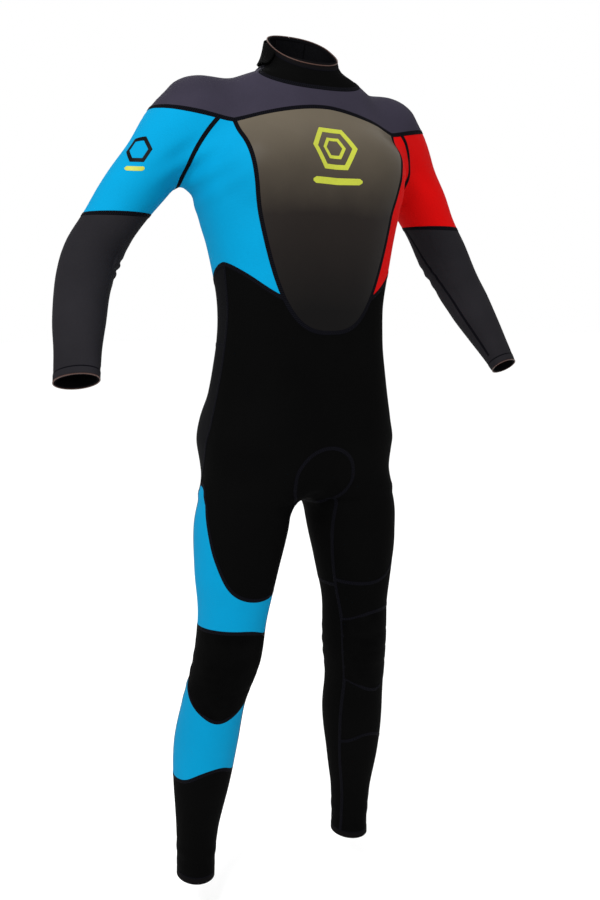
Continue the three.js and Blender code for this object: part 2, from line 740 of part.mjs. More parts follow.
/** Cuts every face that the seam crosses; points close to the seam move onto it instead. */
function cutAlong({ side, where }) {
  const values = cage.points.map(side);
  const inside = cage.faces.map((face) => where(middleOf(cage.points, face)));
  const edges = new Map();
  cage.faces.forEach((face, f) => {
    if (!inside[f]) return;
    face.forEach((a, i) => {
      const b = face[(i + 1) % face.length];
      if (values[a] * values[b] < 0) edges.set(edgeKey(a, b), a < b ? [a, b] : [b, a]);
    });
  });
  for (const [a, b] of edges.values()) {
    const t = values[a] / (values[a] - values[b]);
    let close = -1;
    if (t < NEAR_SEAM.moved) close = a;
    if (t > 1 - NEAR_SEAM.moved) close = b;
    if (close >= 0 && values[a] * values[b] < 0) {
      if (!cage.open.has(close) && !cage.seamPoints.has(close)) {
        cage.points[close] = crossing(cage.points[a], cage.points[b], side);
        values[close] = 0;
      } else if (Math.min(t, 1 - t) < NEAR_SEAM.held) {
        values[close] = 0;
      }
    }
  }
  const cuts = new Map();
  for (const [key, [a, b]] of edges) {
    if (values[a] * values[b] < 0) {
      cuts.set(key, cage.points.push(crossing(cage.points[a], cage.points[b], side)) - 1);
    }
  }
  const faces = [];
  cage.faces.forEach((face, f) => {
    const full = [];
    face.forEach((a, i) => {
      full.push(a);
      const cut = cuts.get(edgeKey(a, face[(i + 1) % face.length]));
      if (cut !== undefined) full.push(cut);
    });
    const value = (i) => (i < values.length ? values[i] : 0);
    const split = inside[f] && full.some((i) => value(i) > 0) && full.some((i) => value(i) < 0);
    if (!split) {
      faces.push(full);
      return;
    }
    for (const sign of [1, -1]) {
      const part = full.filter((i) => value(i) * sign >= 0);
      if (part.length > 2) faces.push(part);
      part.filter((i) => value(i) === 0).forEach((i) => cage.seamPoints.add(i));
    }
  });
  cage.faces = faces;
}

// ---------------------------------------------------------------- panels with thickness

/** Splits a face into a fan of triangles that are not slivers and keep close to the form. */
function triangles(points, face) {
  let best = -Infinity;
  let chosen = [];
  face.forEach((apex, start) => {
    const fan = [];
    let width = Infinity;
    let miss = 0;
    for (let i = 1; i + 1 < face.length; i += 1) {
      const [b, c] = [face[(start + i) % face.length], face[(start + i + 1) % face.length]];
      const [u, v] = [points[b].clone().sub(points[apex]), points[c].clone().sub(points[apex])];
      width = Math.min(width, u.clone().cross(v).length() / Math.max(u.length(), v.length()));
      const middle = points[apex].clone().lerp(points[c], 0.5);
      if (i + 2 < face.length) miss += Math.abs(formDistance(middle.x, middle.y, middle.z));
      fan.push([apex, b, c]);
    }
    const score = Math.min(width, 1.5) * 100 - miss;
    if (score > best) {
      best = score;
      chosen = fan;
    }
  });
  return chosen;
}

/** Boundary edges of some faces, in the direction that their faces go. */
function boundaryEdges(faces) {
  const seen = new Set();
  faces.forEach((face) => face.forEach((a, i) => seen.add(`${a}_${face[(i + 1) % face.length]}`)));
  return [...seen].map((key) => key.split('_').map(Number)).filter(([a, b]) => !seen.has(`${b}_${a}`));
}

function geometryFrom(positions, indices) {
  const geometry = new THREE.BufferGeometry();
  geometry.setAttribute('position', new THREE.Float32BufferAttribute(positions, 3));
  geometry.setIndex(indices);
  return geometry;
}

/** A closed shell: the faces' points, drawn in at the edges for clearance, and a copy further in. */
function panelGeometry(faces, { raise = 0, thickness = NEOPRENE } = {}) {
  const edges = boundaryEdges(faces);
  const drawIn = new Map();
  for (const [a, b] of edges) {
    const along = cage.points[b].clone().sub(cage.points[a]).normalize();
    for (const i of [a, b]) {
      const inwards = cage.normals[i].clone().cross(along).normalize();
      drawIn.set(i, [...(drawIn.get(i) ?? []), inwards]);
    }
  }
  const used = [...new Set(faces.flat())];
  const index = new Map(used.map((i, k) => [i, k]));
  const positions = [];
  for (const depth of [-raise, thickness - raise]) {
    for (const i of used) {
      const p = cage.points[i].clone().addScaledVector(cage.normals[i], -depth);
      const ways = drawIn.get(i) ?? [];
      if (ways.length > 0) {
        const way = ways.reduce((sum, w) => sum.add(w), new THREE.Vector3());
        const sharpness = Math.max(way.lengthSq() / ways.length ** 2, 0.25);
        p.addScaledVector(way.divideScalar(ways.length), CLEARANCE / 2 / sharpness);
      }
      positions.push(p.x, p.y, p.z);
    }
  }
  const indices = [];
  const count = used.length;
  for (const face of faces) {
    for (const [a, b, c] of triangles(cage.points, face).map((t) => t.map((i) => index.get(i)))) {
      indices.push(a, b, c, c + count, b + count, a + count);
    }
  }
  for (const [i, j] of edges) {
    const [a, b] = [index.get(i), index.get(j)];
    if (i < j) indices.push(b, a, b + count, a, a + count, b + count);
    else indices.push(b, a, a + count, b, a + count, b + count);
  }
  return geometryFrom(positions, indices);
}

function sortIntoPanels() {
  const panels = new Map();
  for (const face of cage.faces) {
    const name = panelAt(middleOf(cage.points, face));
    if (name) panels.set(name, [...(panels.get(name) ?? []), face]);
  }
  return panels;
}

// ---------------------------------------------------------------- closed shapes from points

/** A closed shell between two grids of points with the same rows and columns. */
function shellBetween(outer, inner) {
  const [rows, columns] = [outer.length, outer[0].length];
  const positions = [...outer.flat(), ...inner.flat()].flatMap((p) => [p.x, p.y, p.z]);
  const at = (layer, row, column) => layer * rows * columns + row * columns + column;
  const indices = [];
  const quad = (a, b, c, d) => indices.push(a, b, c, a, c, d);
  for (let r = 0; r + 1 < rows; r += 1) {
    for (let c = 0; c + 1 < columns; c += 1) {
      quad(at(0, r, c), at(0, r, c + 1), at(0, r + 1, c + 1), at(0, r + 1, c));
      quad(at(1, r, c), at(1, r + 1, c), at(1, r + 1, c + 1), at(1, r, c + 1));
    }
  }
  for (let c = 0; c + 1 < columns; c += 1) {
    quad(at(0, 0, c + 1), at(0, 0, c), at(1, 0, c), at(1, 0, c + 1));
    quad(at(0, rows - 1, c), at(0, rows - 1, c + 1), at(1, rows - 1, c + 1), at(1, rows - 1, c));
  }
  for (let r = 0; r + 1 < rows; r += 1) {
    quad(at(0, r, 0), at(0, r + 1, 0), at(1, r + 1, 0), at(1, r, 0));
    const last = columns - 1;
    quad(at(0, r + 1, last), at(0, r, last), at(1, r, last), at(1, r + 1, last));
  }
  return geometryFrom(positions, indices);
}

function spread(low, high, count) {
  return Array.from({ length: count + 1 }, (_, i) => low + ((high - low) * i) / count);
}

function solidOf(geometry) {
  const plain = geometry.clone();
  plain.deleteAttribute('normal');
  plain.deleteAttribute('uv');
  const merged = mergeVertices(plain, 1e-4);
  return new wasm.Manifold(new wasm.Mesh({
    numProp: 3,
    vertProperties: new Float32Array(merged.attributes.position.array),
    triVerts: new Uint32Array(merged.index.array),
  }));
}

function geometryOf(solid) {
  const { vertProperties, triVerts } = solid.getMesh();
  return geometryFrom(vertProperties, Array.from(triVerts));
}

function join(geometries) {
  return geometryOf(geometries.map(solidOf).reduce((sum, solid) => sum.add(solid)));
}

function outline(points) {
  return new THREE.Shape(points.map(([x, y]) => new THREE.Vector2(x, y)));
}

// ---------------------------------------------------------------- back zip

const CHAIN = { inner: 1.1, outer: 3.4, halfWidth: 3.4, tooth: 3.2, reach: 0.6 };
const SLIDER = { length: 14, halfWidth: 5.4, wall: 1.3, plate: 1.5, play: 0.35, bridgeGap: 2.8 };
const STOP = { halfWidth: 3.4, depth: 2.6, chamfer: 0.8 };
const GUARD = { halfWidth: 28, below: 18, top: 1478, outer: 6, inner: 7.6 }; // the flap inside the zip
const TAPE = { inner: 1.6, below: 7, top: 1484, outerDepth: 0.3, innerDepth: 1.6 };
const PULL = { length: 34, width: 8, thickness: 1.8, crossbar: 1.4, hole: [3.4, 6.4], fromSliderFoot: 8 };
const SLIDER_HEIGHT = ZIP.top - 8 - SLIDER.length;
const SLIDER_TOP = CHAIN.outer + SLIDER.play + SLIDER.plate;

/** The form's surface on the wearer's back at a given x and height. */
function onBack(x, z) {
  let [inside, outside] = [20, 150];
  for (let i = 0; i < 24; i += 1) {
    const y = (inside + outside) / 2;
    if (formDistance(x, y, z) < 0) inside = y;
    else outside = y;
  }
  return new THREE.Vector3(x, inside, z);
}

/** A strip on the back: columns across, rows upwards, between two depths below the surface. */
function backStrip(columns, rows, outerDepth, innerDepth) {
  const layer = (depth) => rows.map((z) => [...columns].reverse().map((x) => {
    const p = onBack(x, z);
    return p.addScaledVector(outward(p).setZ(0).normalize(), -depth);
  }));
  return shellBetween(layer(outerDepth), layer(innerDepth));
}

function zipTape(side) {
  const { inner, below, top, outerDepth, innerDepth } = TAPE;
  const columns = spread(inner, ZIP.slot - 0.35, 2).map((x) => side * x).sort((a, b) => a - b);
  return backStrip(columns, spread(ZIP.bottom - below, top, 14), outerDepth, innerDepth);
}

function zipInnerFlap() {
  const { halfWidth, below, top, outer, inner } = GUARD;
  return backStrip(spread(-halfWidth, halfWidth, 4), spread(ZIP.bottom - below, top, 12), outer, inner);
}

/** Places a shape drawn flat (x across, y up) on the straight line of the zip. */
const ZIP_FOOT = onBack(0, ZIP.bottom);
const ZIP_LEAN = Math.atan2(onBack(0, ZIP.top).y - ZIP_FOOT.y, ZIP.top - ZIP.bottom);
function onZip(geometry, height, standoff) {
  geometry.rotateX(Math.PI / 2);
  geometry.translate(0, standoff, height - ZIP.bottom);
  geometry.rotateX(-ZIP_LEAN);
  return geometry.translate(ZIP_FOOT.x, ZIP_FOOT.y, ZIP_FOOT.z);
}

/** Half of the chain: a bar with teeth that reach past the middle, between the other half's. */
function zipTeeth(side) {
  const { halfWidth, tooth, reach, inner, outer } = CHAIN;
  const length = ZIP.top - ZIP.bottom;
  const root = 1.6;
  const points = [[halfWidth, 0], [halfWidth, length], [root, length]];
  const first = side < 0 ? ZIP.pitch * 0.25 : ZIP.pitch * 0.75;
  for (let y = length - first; y > tooth; y -= ZIP.pitch) {
    points.push([root, y], [-reach, y - 0.4], [-reach, y - tooth + 0.4], [root, y - tooth]);
  }
  points.push([root, 0]);
  const shape = outline(points.map(([x, y]) => [side * x, y]));
  const geometry = new THREE.ExtrudeGeometry(shape, { depth: outer - inner, bevelEnabled: false });
  return onZip(geometry, ZIP.bottom, outer);
}

function zipStop(height) {
  const { halfWidth: half, depth, chamfer } = STOP;
  const shape = outline([
    [-half, -1.6], [half, -1.6], [half, 1], [half - chamfer, 1.8], [chamfer - half, 1.8], [-half, 1],
  ]);
  return onZip(new THREE.ExtrudeGeometry(shape, { depth, bevelEnabled: false }), height, CHAIN.outer);
}

/** A block on the zip: width, height and depth, its lower edge and how far its face stands out. */
function zipBlock([width, tall, depth], x, low, standoff) {
  const box = new THREE.BoxGeometry(width, tall, depth).translate(x, low + tall / 2, depth / 2);
  return onZip(box, SLIDER_HEIGHT, standoff);
}

/** The slider: a plate over the chain with a wall down each side, and a bridge for the pull. */
function zipSlider() {
  const { length, halfWidth, wall, plate, bridgeGap } = SLIDER;
  const wing = outline([
    [-4.9, 0], [4.9, 0], [halfWidth, 6], [4.4, length], [0, length - 2.5], [-4.4, length], [-halfWidth, 6],
  ]);
  const top = new THREE.ExtrudeGeometry(wing, { depth: plate, bevelEnabled: false });
  const drop = SLIDER_TOP - CHAIN.inner - 0.3;
  const wallCentre = halfWidth - wall / 2;
  const sides = [-1, 1].map((side) => zipBlock([wall, 9, drop], side * wallCentre, 1, SLIDER_TOP));
  const reach = bridgeGap + 1.4;
  const posts = [1.5, 10.2].map((low) => zipBlock([2.4, 1.6, reach + 0.4], 0, low, SLIDER_TOP + reach));
  const bar = zipBlock([2.4, 10.3, 1.4], 0, 1.5, SLIDER_TOP + reach);
  return join([onZip(top, SLIDER_HEIGHT, SLIDER_TOP), ...sides, ...posts, bar]);
}

/** The pull: a tapering tag whose crossbar lies under the slider's bridge. */
function zipPull() {
  const { length, width, thickness, crossbar, hole } = PULL;
  const half = width / 2;
  const tag = outline([
    [-2.8, 0.7], [2.8, 0.7], [half, -8], [half, -length + 2], [half - 1.5, -length],
    [1.5 - half, -length], [-half, -length + 2], [-half, -8],
  ]);
  const [across, tall] = [hole[0] / 2, hole[1]];
  const low = 0.7 - crossbar;
  tag.holes.push(outline([[-across, low], [-across, low - tall], [across, low - tall], [across, low]]));
  const geometry = new THREE.ExtrudeGeometry(tag, { depth: thickness, bevelEnabled: false });
  const standoff = SLIDER_TOP + (SLIDER.bridgeGap + thickness) / 2;
  return onZip(geometry, SLIDER_HEIGHT + PULL.fromSliderFoot, standoff);
}

// ---------------------------------------------------------------- collar closure

/** A point on the collar: its bearing in degrees seen from above, and its share of the height. */
function onCollar(bearing, share) {
  const angle = THREE.MathUtils.degToRad(bearing - 90);
  const [c, s] = [Math.cos(angle), Math.sin(angle)];
  const { halfWidth, halfDepth, rise } = COLLAR_RIM;
  const foot = new THREE.Vector3(NECK_SEAM.halfWidth * c, NECK_SEAM.centre + NECK_SEAM.halfDepth * s, 0);
  foot.z = neckSeamHeight(foot.y);
  const rim = new THREE.Vector3(halfWidth * c, halfDepth * s, rise * s).add(NECK_OPENING);
  return settle(foot.lerp(rim, share));
}

/** A strip round the outside of the collar, between two heights off its surface. */
function collarWrap({ from, to, low, high }, inner, outer) {
  const bearings = spread(from, to, (to - from) / 8);
  const row = (share, height) => bearings.map((bearing) => {
    const p = onCollar(bearing, share);
    return p.addScaledVector(outward(p).normalize(), height);
  });
  const layer = (height) => spread(low, high, 3).map((share) => row(share, height));
  return shellBetween(layer(outer), layer(inner));
}

// ---------------------------------------------------------------- assembly

const sided = (part, side) => `${part}_${side < 0 ? 'right' : 'left'}`;

const suit = new THREE.Group();
const body = new THREE.Group();
body.position.copy(NECK_OPENING).negate();
suit.add(body);

const COLOURS = {
  cyan: 0x019fd2, red: 0xd20808, charcoal: 0x48444f, black: 0x111113, chest: 0x3a3634,
  cuff: 0x2c2b2e, metal: 0x9a9c9e, plastic: 0x16161a,
};

function add(name, geometry, colour, roughness = 0.85, metalness = 0) {
  geometry.deleteAttribute('uv');
  geometry.computeVertexNormals();
  const material = new THREE.MeshStandardMaterial({ color: colour, roughness, metalness });
  const mesh = new THREE.Mesh(geometry, material);
  mesh.name = name;
  body.add(mesh);
  return mesh;
}

function panelColour(name) {
  if (/(upper_sleeve|side_panel|thigh_panel|shin_panel|knee_side)_right/.test(name)) return COLOURS.cyan;
  if (/(upper_sleeve|side_panel)_left/.test(name)) return COLOURS.red;
  if (/yoke|back_panel|seat|inner_thigh|calf|collar/.test(name)) return COLOURS.charcoal;
  if (/forearm|elbow/.test(name)) return COLOURS.cuff;
  return name === 'chest_panel' ? COLOURS.chest : COLOURS.black;
}

buildCage();
cage.seamPoints = new Set();
SEAMS.forEach(cutAlong);
cage.normals = cage.points.map((p, i) => {
  const way = outward(p);
  const facing = cage.open.get(i);
  if (facing) way.addScaledVector(facing, -way.dot(facing));
  return way.normalize();
});
for (const [name, faces] of sortIntoPanels()) {
  const edging = name.includes('hem') ? HEM : name.includes('binding') ? BINDING : {};
  add(name, panelGeometry(faces, edging), panelColour(name));
}
for (const side of [-1, 1]) {
  add(sided('zip_tape', side), zipTape(side), COLOURS.plastic);
  add(sided('zip_teeth', side), zipTeeth(side), COLOURS.plastic, 0.4);
}
add('zip_inner_flap', zipInnerFlap(), COLOURS.black);
add('zip_top_stop', zipStop(ZIP.top + 4), COLOURS.metal, 0.35, 1);
add('zip_bottom_stop', zipStop(ZIP.bottom - 5), COLOURS.metal, 0.35, 1);
add('zip_slider', zipSlider(), COLOURS.metal, 0.3, 1);
add('zip_pull', zipPull(), COLOURS.plastic, 0.5);
const CLOSURE = {
  loop: [{ from: 208, to: 264, low: 0.24, high: 0.78 }, 0.9, 1.7],
  hook: [{ from: 216, to: 280, low: 0.28, high: 0.74 }, 2.1, 2.9],
  flap: [{ from: 168, to: 288, low: 0.14, high: 0.86 }, 3.3, 5.7],
};
add('collar_loop_patch', collarWrap(...CLOSURE.loop), COLOURS.black);
add('collar_hook_patch', collarWrap(...CLOSURE.hook), COLOURS.black);
add('collar_flap', collarWrap(...CLOSURE.flap), COLOURS.black);

export default suit;
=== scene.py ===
"""Looks of the full back-zip wetsuit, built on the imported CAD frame.

The script works in millimetres above the ground under the wearer, front towards -Y, as the CAD
part does, and turns to the frame's metres only where a mesh is made. One smooth body form
carries every panel: a fine quad skin is settled on it, cut along the seams and sorted into panels.
"""
import math

import bpy
import numpy as np
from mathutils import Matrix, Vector


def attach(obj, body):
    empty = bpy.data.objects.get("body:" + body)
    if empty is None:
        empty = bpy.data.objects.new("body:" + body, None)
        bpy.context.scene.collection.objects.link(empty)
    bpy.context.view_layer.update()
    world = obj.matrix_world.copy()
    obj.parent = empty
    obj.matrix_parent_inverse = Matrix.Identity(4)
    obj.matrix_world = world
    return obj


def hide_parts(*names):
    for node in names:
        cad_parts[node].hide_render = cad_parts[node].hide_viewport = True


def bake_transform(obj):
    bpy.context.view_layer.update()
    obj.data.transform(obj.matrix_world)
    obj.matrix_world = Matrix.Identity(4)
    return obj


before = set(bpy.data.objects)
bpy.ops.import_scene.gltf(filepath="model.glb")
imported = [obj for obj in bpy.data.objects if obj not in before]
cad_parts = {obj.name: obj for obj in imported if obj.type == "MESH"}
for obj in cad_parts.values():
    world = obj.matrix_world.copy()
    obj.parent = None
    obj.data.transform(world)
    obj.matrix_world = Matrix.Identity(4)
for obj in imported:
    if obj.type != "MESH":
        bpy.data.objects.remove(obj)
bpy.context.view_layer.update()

# ---- sizes, in millimetres

NEOPRENE = 3.0
NECK_OPENING = np.array([0.0, -10.0, 1523.0])
COLLAR_RIM = {"half_width": 54, "half_depth": 48, "rise": 32}
ANKLE_HEIGHT = 86
HEM = {"height": 12, "raise": 0.8, "thickness": 4.4}
BINDING = {"height": 5, "raise": 0.6, "thickness": 4.2}
PLAIN_EDGE = {"raise": 0, "thickness": NEOPRENE}
CUT_EDGE = {"round": 0.75, "tuck": 0.2}
ELBOW = {"place": (345, 51, 1194), "above": 65, "below": 85}
SLEEVE_SEAM_HEIGHT = 1256
ZIP = {"top": 1412, "bottom": 1062, "slot": 18, "foot": 8}
ZIP_TAPE = {"gap": 1.6, "margin": 0.35, "foot": 7, "top": 1484, "outer": 0.3, "inner": 1.6}
ZIP_FLAP = {"half_width": 28, "foot": 18, "top": 1546, "outer": 4.5, "inner": 6.1}
SEAM_HALF_WIDTH = 3.6
BOUND_SEAM_HALF_WIDTH = 1.8
SUBDIVISIONS = 3
NECK_SEAM = {"height": 1495, "slope": 0.58, "half_width": 70, "half_depth": 68, "y": 4}
YOKE = {"corner": 144, "top": 1424, "drop": 28, "side_rise": 21, "side_width": 100,
        "back": 1400, "back_rise": 17, "back_width": 244}
ARMHOLE = {"x": 62, "z": 1300, "radius": 144}
CHEST = {"half_width": 143, "bottom": 1074, "height": 322}
GUSSET = {"height": 835, "radius": 54, "back": 80}
KNEE_SIDE = {"top": 578, "bottom": 460, "top_angle": 122, "turn": -12}
INNER_THIGH = {"bottom": 630, "back": 55}
LEG_TOP = 822
SEAT_SEAM = 790
BACK_SEAM = 118
COLLAR_SLIT = 0.7

# Torso sections: height, centre y, half width, front y, back y.
TORSO = [
    [795, 5, 50, -25, 65], [815, 5, 120, -70, 108], [845, 6, 158, -92, 128],
    [885, 6, 172, -104, 134], [925, 6, 165, -108, 130], [965, 5, 158, -108, 114],
    [1010, 3, 151, -106, 96], [1060, 0, 145, -105, 88], [1110, -3, 143, -106, 90],
    [1160, -3, 149, -111, 92], [1210, 0, 159, -116, 94], [1250, 5, 170, -118, 96],
    [1300, 10, 184, -119, 99], [1350, 12, 188, -111, 101], [1400, 14, 164, -90, 103],
    [1432, 17, 152, -76, 100], [1457, 20, 134, -68, 89], [1476, 20, 106, -62, 78],
    [1490, 14, 72, -58, 67], [1510, 2, 58, -57, 54], [1560, -8, 53, -57, 36],
]
# Leg sections: height, centre x, centre y, half width, half depth.
LEG = [
    [60, 165, 100, 33, 41], [110, 164, 98, 33, 40], [150, 163, 95, 35, 40],
    [190, 162, 91, 38, 42], [270, 158, 80, 49, 53], [350, 152, 71, 55, 62],
    [430, 144, 52, 54, 59], [510, 129, 29, 57, 63], [590, 122, 17, 58, 65],
    [670, 116, 13, 69, 77], [750, 107, 10, 78, 87], [790, 101, 8, 77, 87],
    [830, 94, 8, 70, 80], [880, 86, 10, 40, 45],
]
# Arm axis from shoulder to wrist: x, y, z, wide half, thin half.
ARM = [
    [172, 20, 1404, 67, 67], [206, 28, 1377, 58, 60], [240, 36, 1337, 48, 51],
    [272, 43, 1297, 45, 48], [300, 48, 1257, 43, 45], [336, 51, 1200, 42, 44],
    [358, 34, 1150, 43, 41], [376, 2, 1093, 40, 35], [388, -27, 1048, 36, 28],
    [398, -52, 1008, 35, 21],
]
ARM_WIDE_WAY = np.array([0.75, 0.66, 0])
# Muscle swellings, mirrored: centre x, y, z, then half sizes.
SWELLINGS = [
    [74, -66, 1330, 78, 53, 62],
    [76, 60, 897, 76, 74, 90],
    [96, 78, 1350, 56, 40, 90],
]
BLEND = {"swelling": 26, "legs": 14, "hips": 42, "shoulders": 38}
SQUARENESS = 2.35

# Seam lines, each a few points of one coordinate against another.
SIDE_SEAM = [
    [60, 118], [200, 112], [300, 106], [400, 90], [500, 62], [700, 52], [822, 42], [890, 6],
    [1182, -27],
]
INSEAM = [[60, 86], [110, 80], [212, 65], [392, 27], [524, -12], [633, -17], [716, -31], [800, -55]]
WAIST_SEAM = [[-100, 1122], [-75, 1156], [-51, 1174], [-27, 1182], [0, 1174], [40, 1152], [110, 1128]]
THIGH_SEAM = [[-70, 642], [-40, 638], [0, 638], [30, 656], [54, 708], [70, 764], [92, 818], [125, 830]]
KNEE_TOP_SEAM = [[-70, 563], [-40, 566], [0, 580], [90, 579], [125, 575]]
KNEE_BOTTOM_SEAM = [
    [-80, 447], [-60, 445], [-30, 432], [-8, 419], [15, 413], [48, 431], [92, 460], [125, 485],
]
SHIN_SEAM = [[-70, 300], [-37, 306], [-7, 320], [21, 314], [55, 295], [86, 291], [125, 291]]
FOREARM_SEAM = [[243, 55, 1254], [296, 42, 1186], [333, -2, 1106], [363, -54, 1025]]


# ---- the body form

def smooth_curve(rows):
    """A smooth curve through rows of [position, value, ...], held level past its ends."""
    rows = np.array(rows, float)
    x, v = rows[:, 0], rows[:, 1:]
    last = len(rows) - 1
    before = np.maximum(np.arange(last + 1) - 1, 0)
    after = np.minimum(np.arange(last + 1) + 1, last)
    slopes = (v[after] - v[before]) / (x[after] - x[before])[:, None]

    def curve(position):
        at = np.clip(position, x[0], x[-1])
        i = np.clip(np.searchsorted(x, at, side="right") - 1, 0, last - 1)
        step = (x[i + 1] - x[i])[..., None]
        t = (at - x[i])[..., None] / step
        rise = t * t * (3 - 2 * t)
        leave = slopes[i] * step * t * (1 - t) ** 2
        arrive = slopes[i + 1] * step * t * t * (t - 1)
        return v[i] + (v[i + 1] - v[i]) * rise + leave + arrive

    return curve


def sampled(rows, step=2.0):
    """A curve sampled finely once, so that the many calls on it are quick."""
    at = np.arange(rows[0][0], rows[-1][0] + step, step)
    columns = smooth_curve(rows)(at).T
    return lambda position: [np.interp(position, at, column) for column in columns]


torso_section = sampled(TORSO)
leg_section = sampled(LEG)


def section_distance(shape, z, squareness):
    """Distance outside an outline, corrected for how fast it changes with height."""
    step = 4

    def radius_at(width, depth, dx, dy):
        reach = np.abs(dx / width) ** squareness + np.abs(dy / depth) ** squareness
        return np.hypot(dx, dy) / np.maximum(reach, 1e-9) ** (1 / squareness)
    radius = radius_at(*shape(z))
    slope = (radius_at(*shape(z + step)) - radius) / step
    _, _, dx, dy = shape(z)
    return (np.hypot(dx, dy) - radius) / np.hypot(1, slope)


def torso_distance(x, y, z):
    def shape(height):
        centre, width, front, back = torso_section(height)
        return width, np.where(y < centre, centre - front, back - centre), x, y - centre
    distance = section_distance(shape, z, SQUARENESS)
    under = TORSO[0][0] - z
    return np.where(under > 0, np.hypot(np.maximum(distance, 0), under), distance)


def leg_distance(x, y, z):
    def shape(height):
        cx, cy, width, depth = leg_section(height)
        return width, depth, x - cx, y - cy
    distance = section_distance(shape, z, 2)
    over = z - LEG[-1][0]
    return np.where(over > 0, np.hypot(np.maximum(distance, 0), over), distance)


def unit(v):
    return v / np.maximum(np.linalg.norm(v, axis=-1, keepdims=True), 1e-9)


def lengths_along(line):
    """How far along a line of points each point lies."""
    return np.r_[0, np.cumsum(np.linalg.norm(np.diff(line, axis=0), axis=1))]


def arm_stations(count=48):
    """Stations along the arm: place, direction, the two section ways and their half sizes."""
    rows = np.array(ARM, float)
    along = lengths_along(rows[:, :3])
    curve = smooth_curve(np.c_[along, rows])
    at = along[-1] * np.arange(count + 1) / count
    values = curve(at)
    ahead = curve(np.minimum(at + 2, along[-1]))[:, :3]
    behind = curve(np.maximum(at - 2, 0))[:, :3]
    direction = unit(ahead - behind)
    wide_way = unit(ARM_WIDE_WAY - (direction @ ARM_WIDE_WAY)[:, None] * direction)
    thin_way = np.cross(direction, wide_way)
    return np.c_[at, values, direction, wide_way, thin_way]


STATIONS = arm_stations()
ARM_LENGTH = STATIONS[-1, 0]


def arm_position(p):
    """The nearest place on the arm's axis: station number with a fraction."""
    best = np.full(len(p), np.inf)
    position = np.zeros(len(p))
    for i in range(len(STATIONS) - 1):
        a, b = STATIONS[i, 1:4], STATIONS[i + 1, 1:4]
        way = b - a
        t = np.clip((p - a) @ way / (way @ way), 0, 1)
        miss = ((p - a - t[:, None] * way) ** 2).sum(1)
        nearer = miss < best
        best = np.where(nearer, miss, best)
        position = np.where(nearer, i + t, position)
    return position


def arm_frame(position):
    """Along, place, wide half, thin half, direction, wide way and thin way at a position."""
    i = np.minimum(np.floor(position).astype(int), len(STATIONS) - 2)
    t = (position - i)[:, None]
    row = STATIONS[i] * (1 - t) + STATIONS[i + 1] * t
    return row[:, 0], row[:, 1:4], row[:, 4], row[:, 5], row[:, 6:9], row[:, 9:12], row[:, 12:15]


def mirrored(p):
    return np.c_[np.abs(p[:, 0]), p[:, 1:]]


def arm_distance(p):
    distance = np.full(len(p), 1000.0)
    near = p[:, 0] >= 90
    if near.any():
        q = p[near]
        at, place, wide, thin, direction, wide_way, thin_way = arm_frame(arm_position(q))
        offset = q - place
        u = (offset * wide_way).sum(1)
        v = (offset * thin_way).sum(1)
        back = np.where(at < 1, (offset * direction).sum(1), 0)
        reach = np.sqrt((u / wide) ** 2 + (v / thin) ** 2 + (back / wide) ** 2)
        distance[near] = np.sqrt(u * u + v * v + back * back) * (1 - 1 / np.maximum(reach, 1e-5))
    return distance


def swelling_distance(swelling, p):
    centre, half = np.array(swelling[:3]), np.array(swelling[3:])
    q = (p - centre) / half
    reach = np.linalg.norm(q, axis=1)
    return reach * (reach - 1) / np.maximum(np.linalg.norm(q / half, axis=1), 1e-9)


def blended(a, b, width):
    overlap = np.maximum(width - np.abs(a - b), 0) / width
    return np.minimum(a, b) - overlap * overlap * width * 0.25


def form_distance(p):
    """Signed distance outside the body form."""
    x, y, z = p.T
    half = mirrored(p)
    body = torso_distance(x, y, z)
    for swelling in SWELLINGS:
        body = blended(body, swelling_distance(swelling, half), BLEND["swelling"])
    legs = blended(leg_distance(x, y, z), leg_distance(-x, y, z), BLEND["legs"])
    body = blended(body, legs, BLEND["hips"])
    return blended(body, arm_distance(half), BLEND["shoulders"])


def outward(p):
    """The way straight out of the form at each point."""
    reach = 0.6
    ways = [form_distance(p + step) - form_distance(p - step) for step in np.eye(3) * reach]
    return np.stack(ways, 1) / (2 * reach)


def settle(p, times=3):
    """Points moved onto the form."""
    for _ in range(times):
        way = outward(p)
        length = (way * way).sum(1)
        distance = np.clip(form_distance(p) / np.maximum(length, 0.05), -20, 20)
        p = p - way * distance[:, None]
    return p


# ---- the quad skin

AROUND = {"torso": 24, "leg": 14, "arm_rows": 6}
TORSO_ROWS = [850, 890, 930, 970, 1010, 1050, 1090, 1130, 1170, 1210, 1250, 1290]
LEG_ROWS = [768, 728, 686, 644, 604, 565, 526, 490, 455, 412, 365, 318, 270, 222, 175, 130, 86]
FIRST_ARM_ROW = 70
ARM_ROW_STEP = 37
CROTCH = {"height": 812, "front": -48, "back": 62, "middle": (0, 6, 804)}
# The top of the shoulder from its point to the neck: x, y, z.
SHOULDER_TOP = [(190, 22, 1462), (152, 20, 1478), (112, 18, 1480)]
RIM_FACING = unit(np.array([0.0, -COLLAR_RIM["rise"], COLLAR_RIM["half_depth"]]))


def neck_seam_height(y):
    return NECK_SEAM["height"] + NECK_SEAM["slope"] * np.minimum(y, 0)


def rim_place(c, s):
    """A place on the collar's rim, from the cosine and sine of its bearing."""
    way = np.stack([COLLAR_RIM["half_width"] * c, COLLAR_RIM["half_depth"] * s, COLLAR_RIM["rise"] * s], -1)
    return NECK_OPENING + way


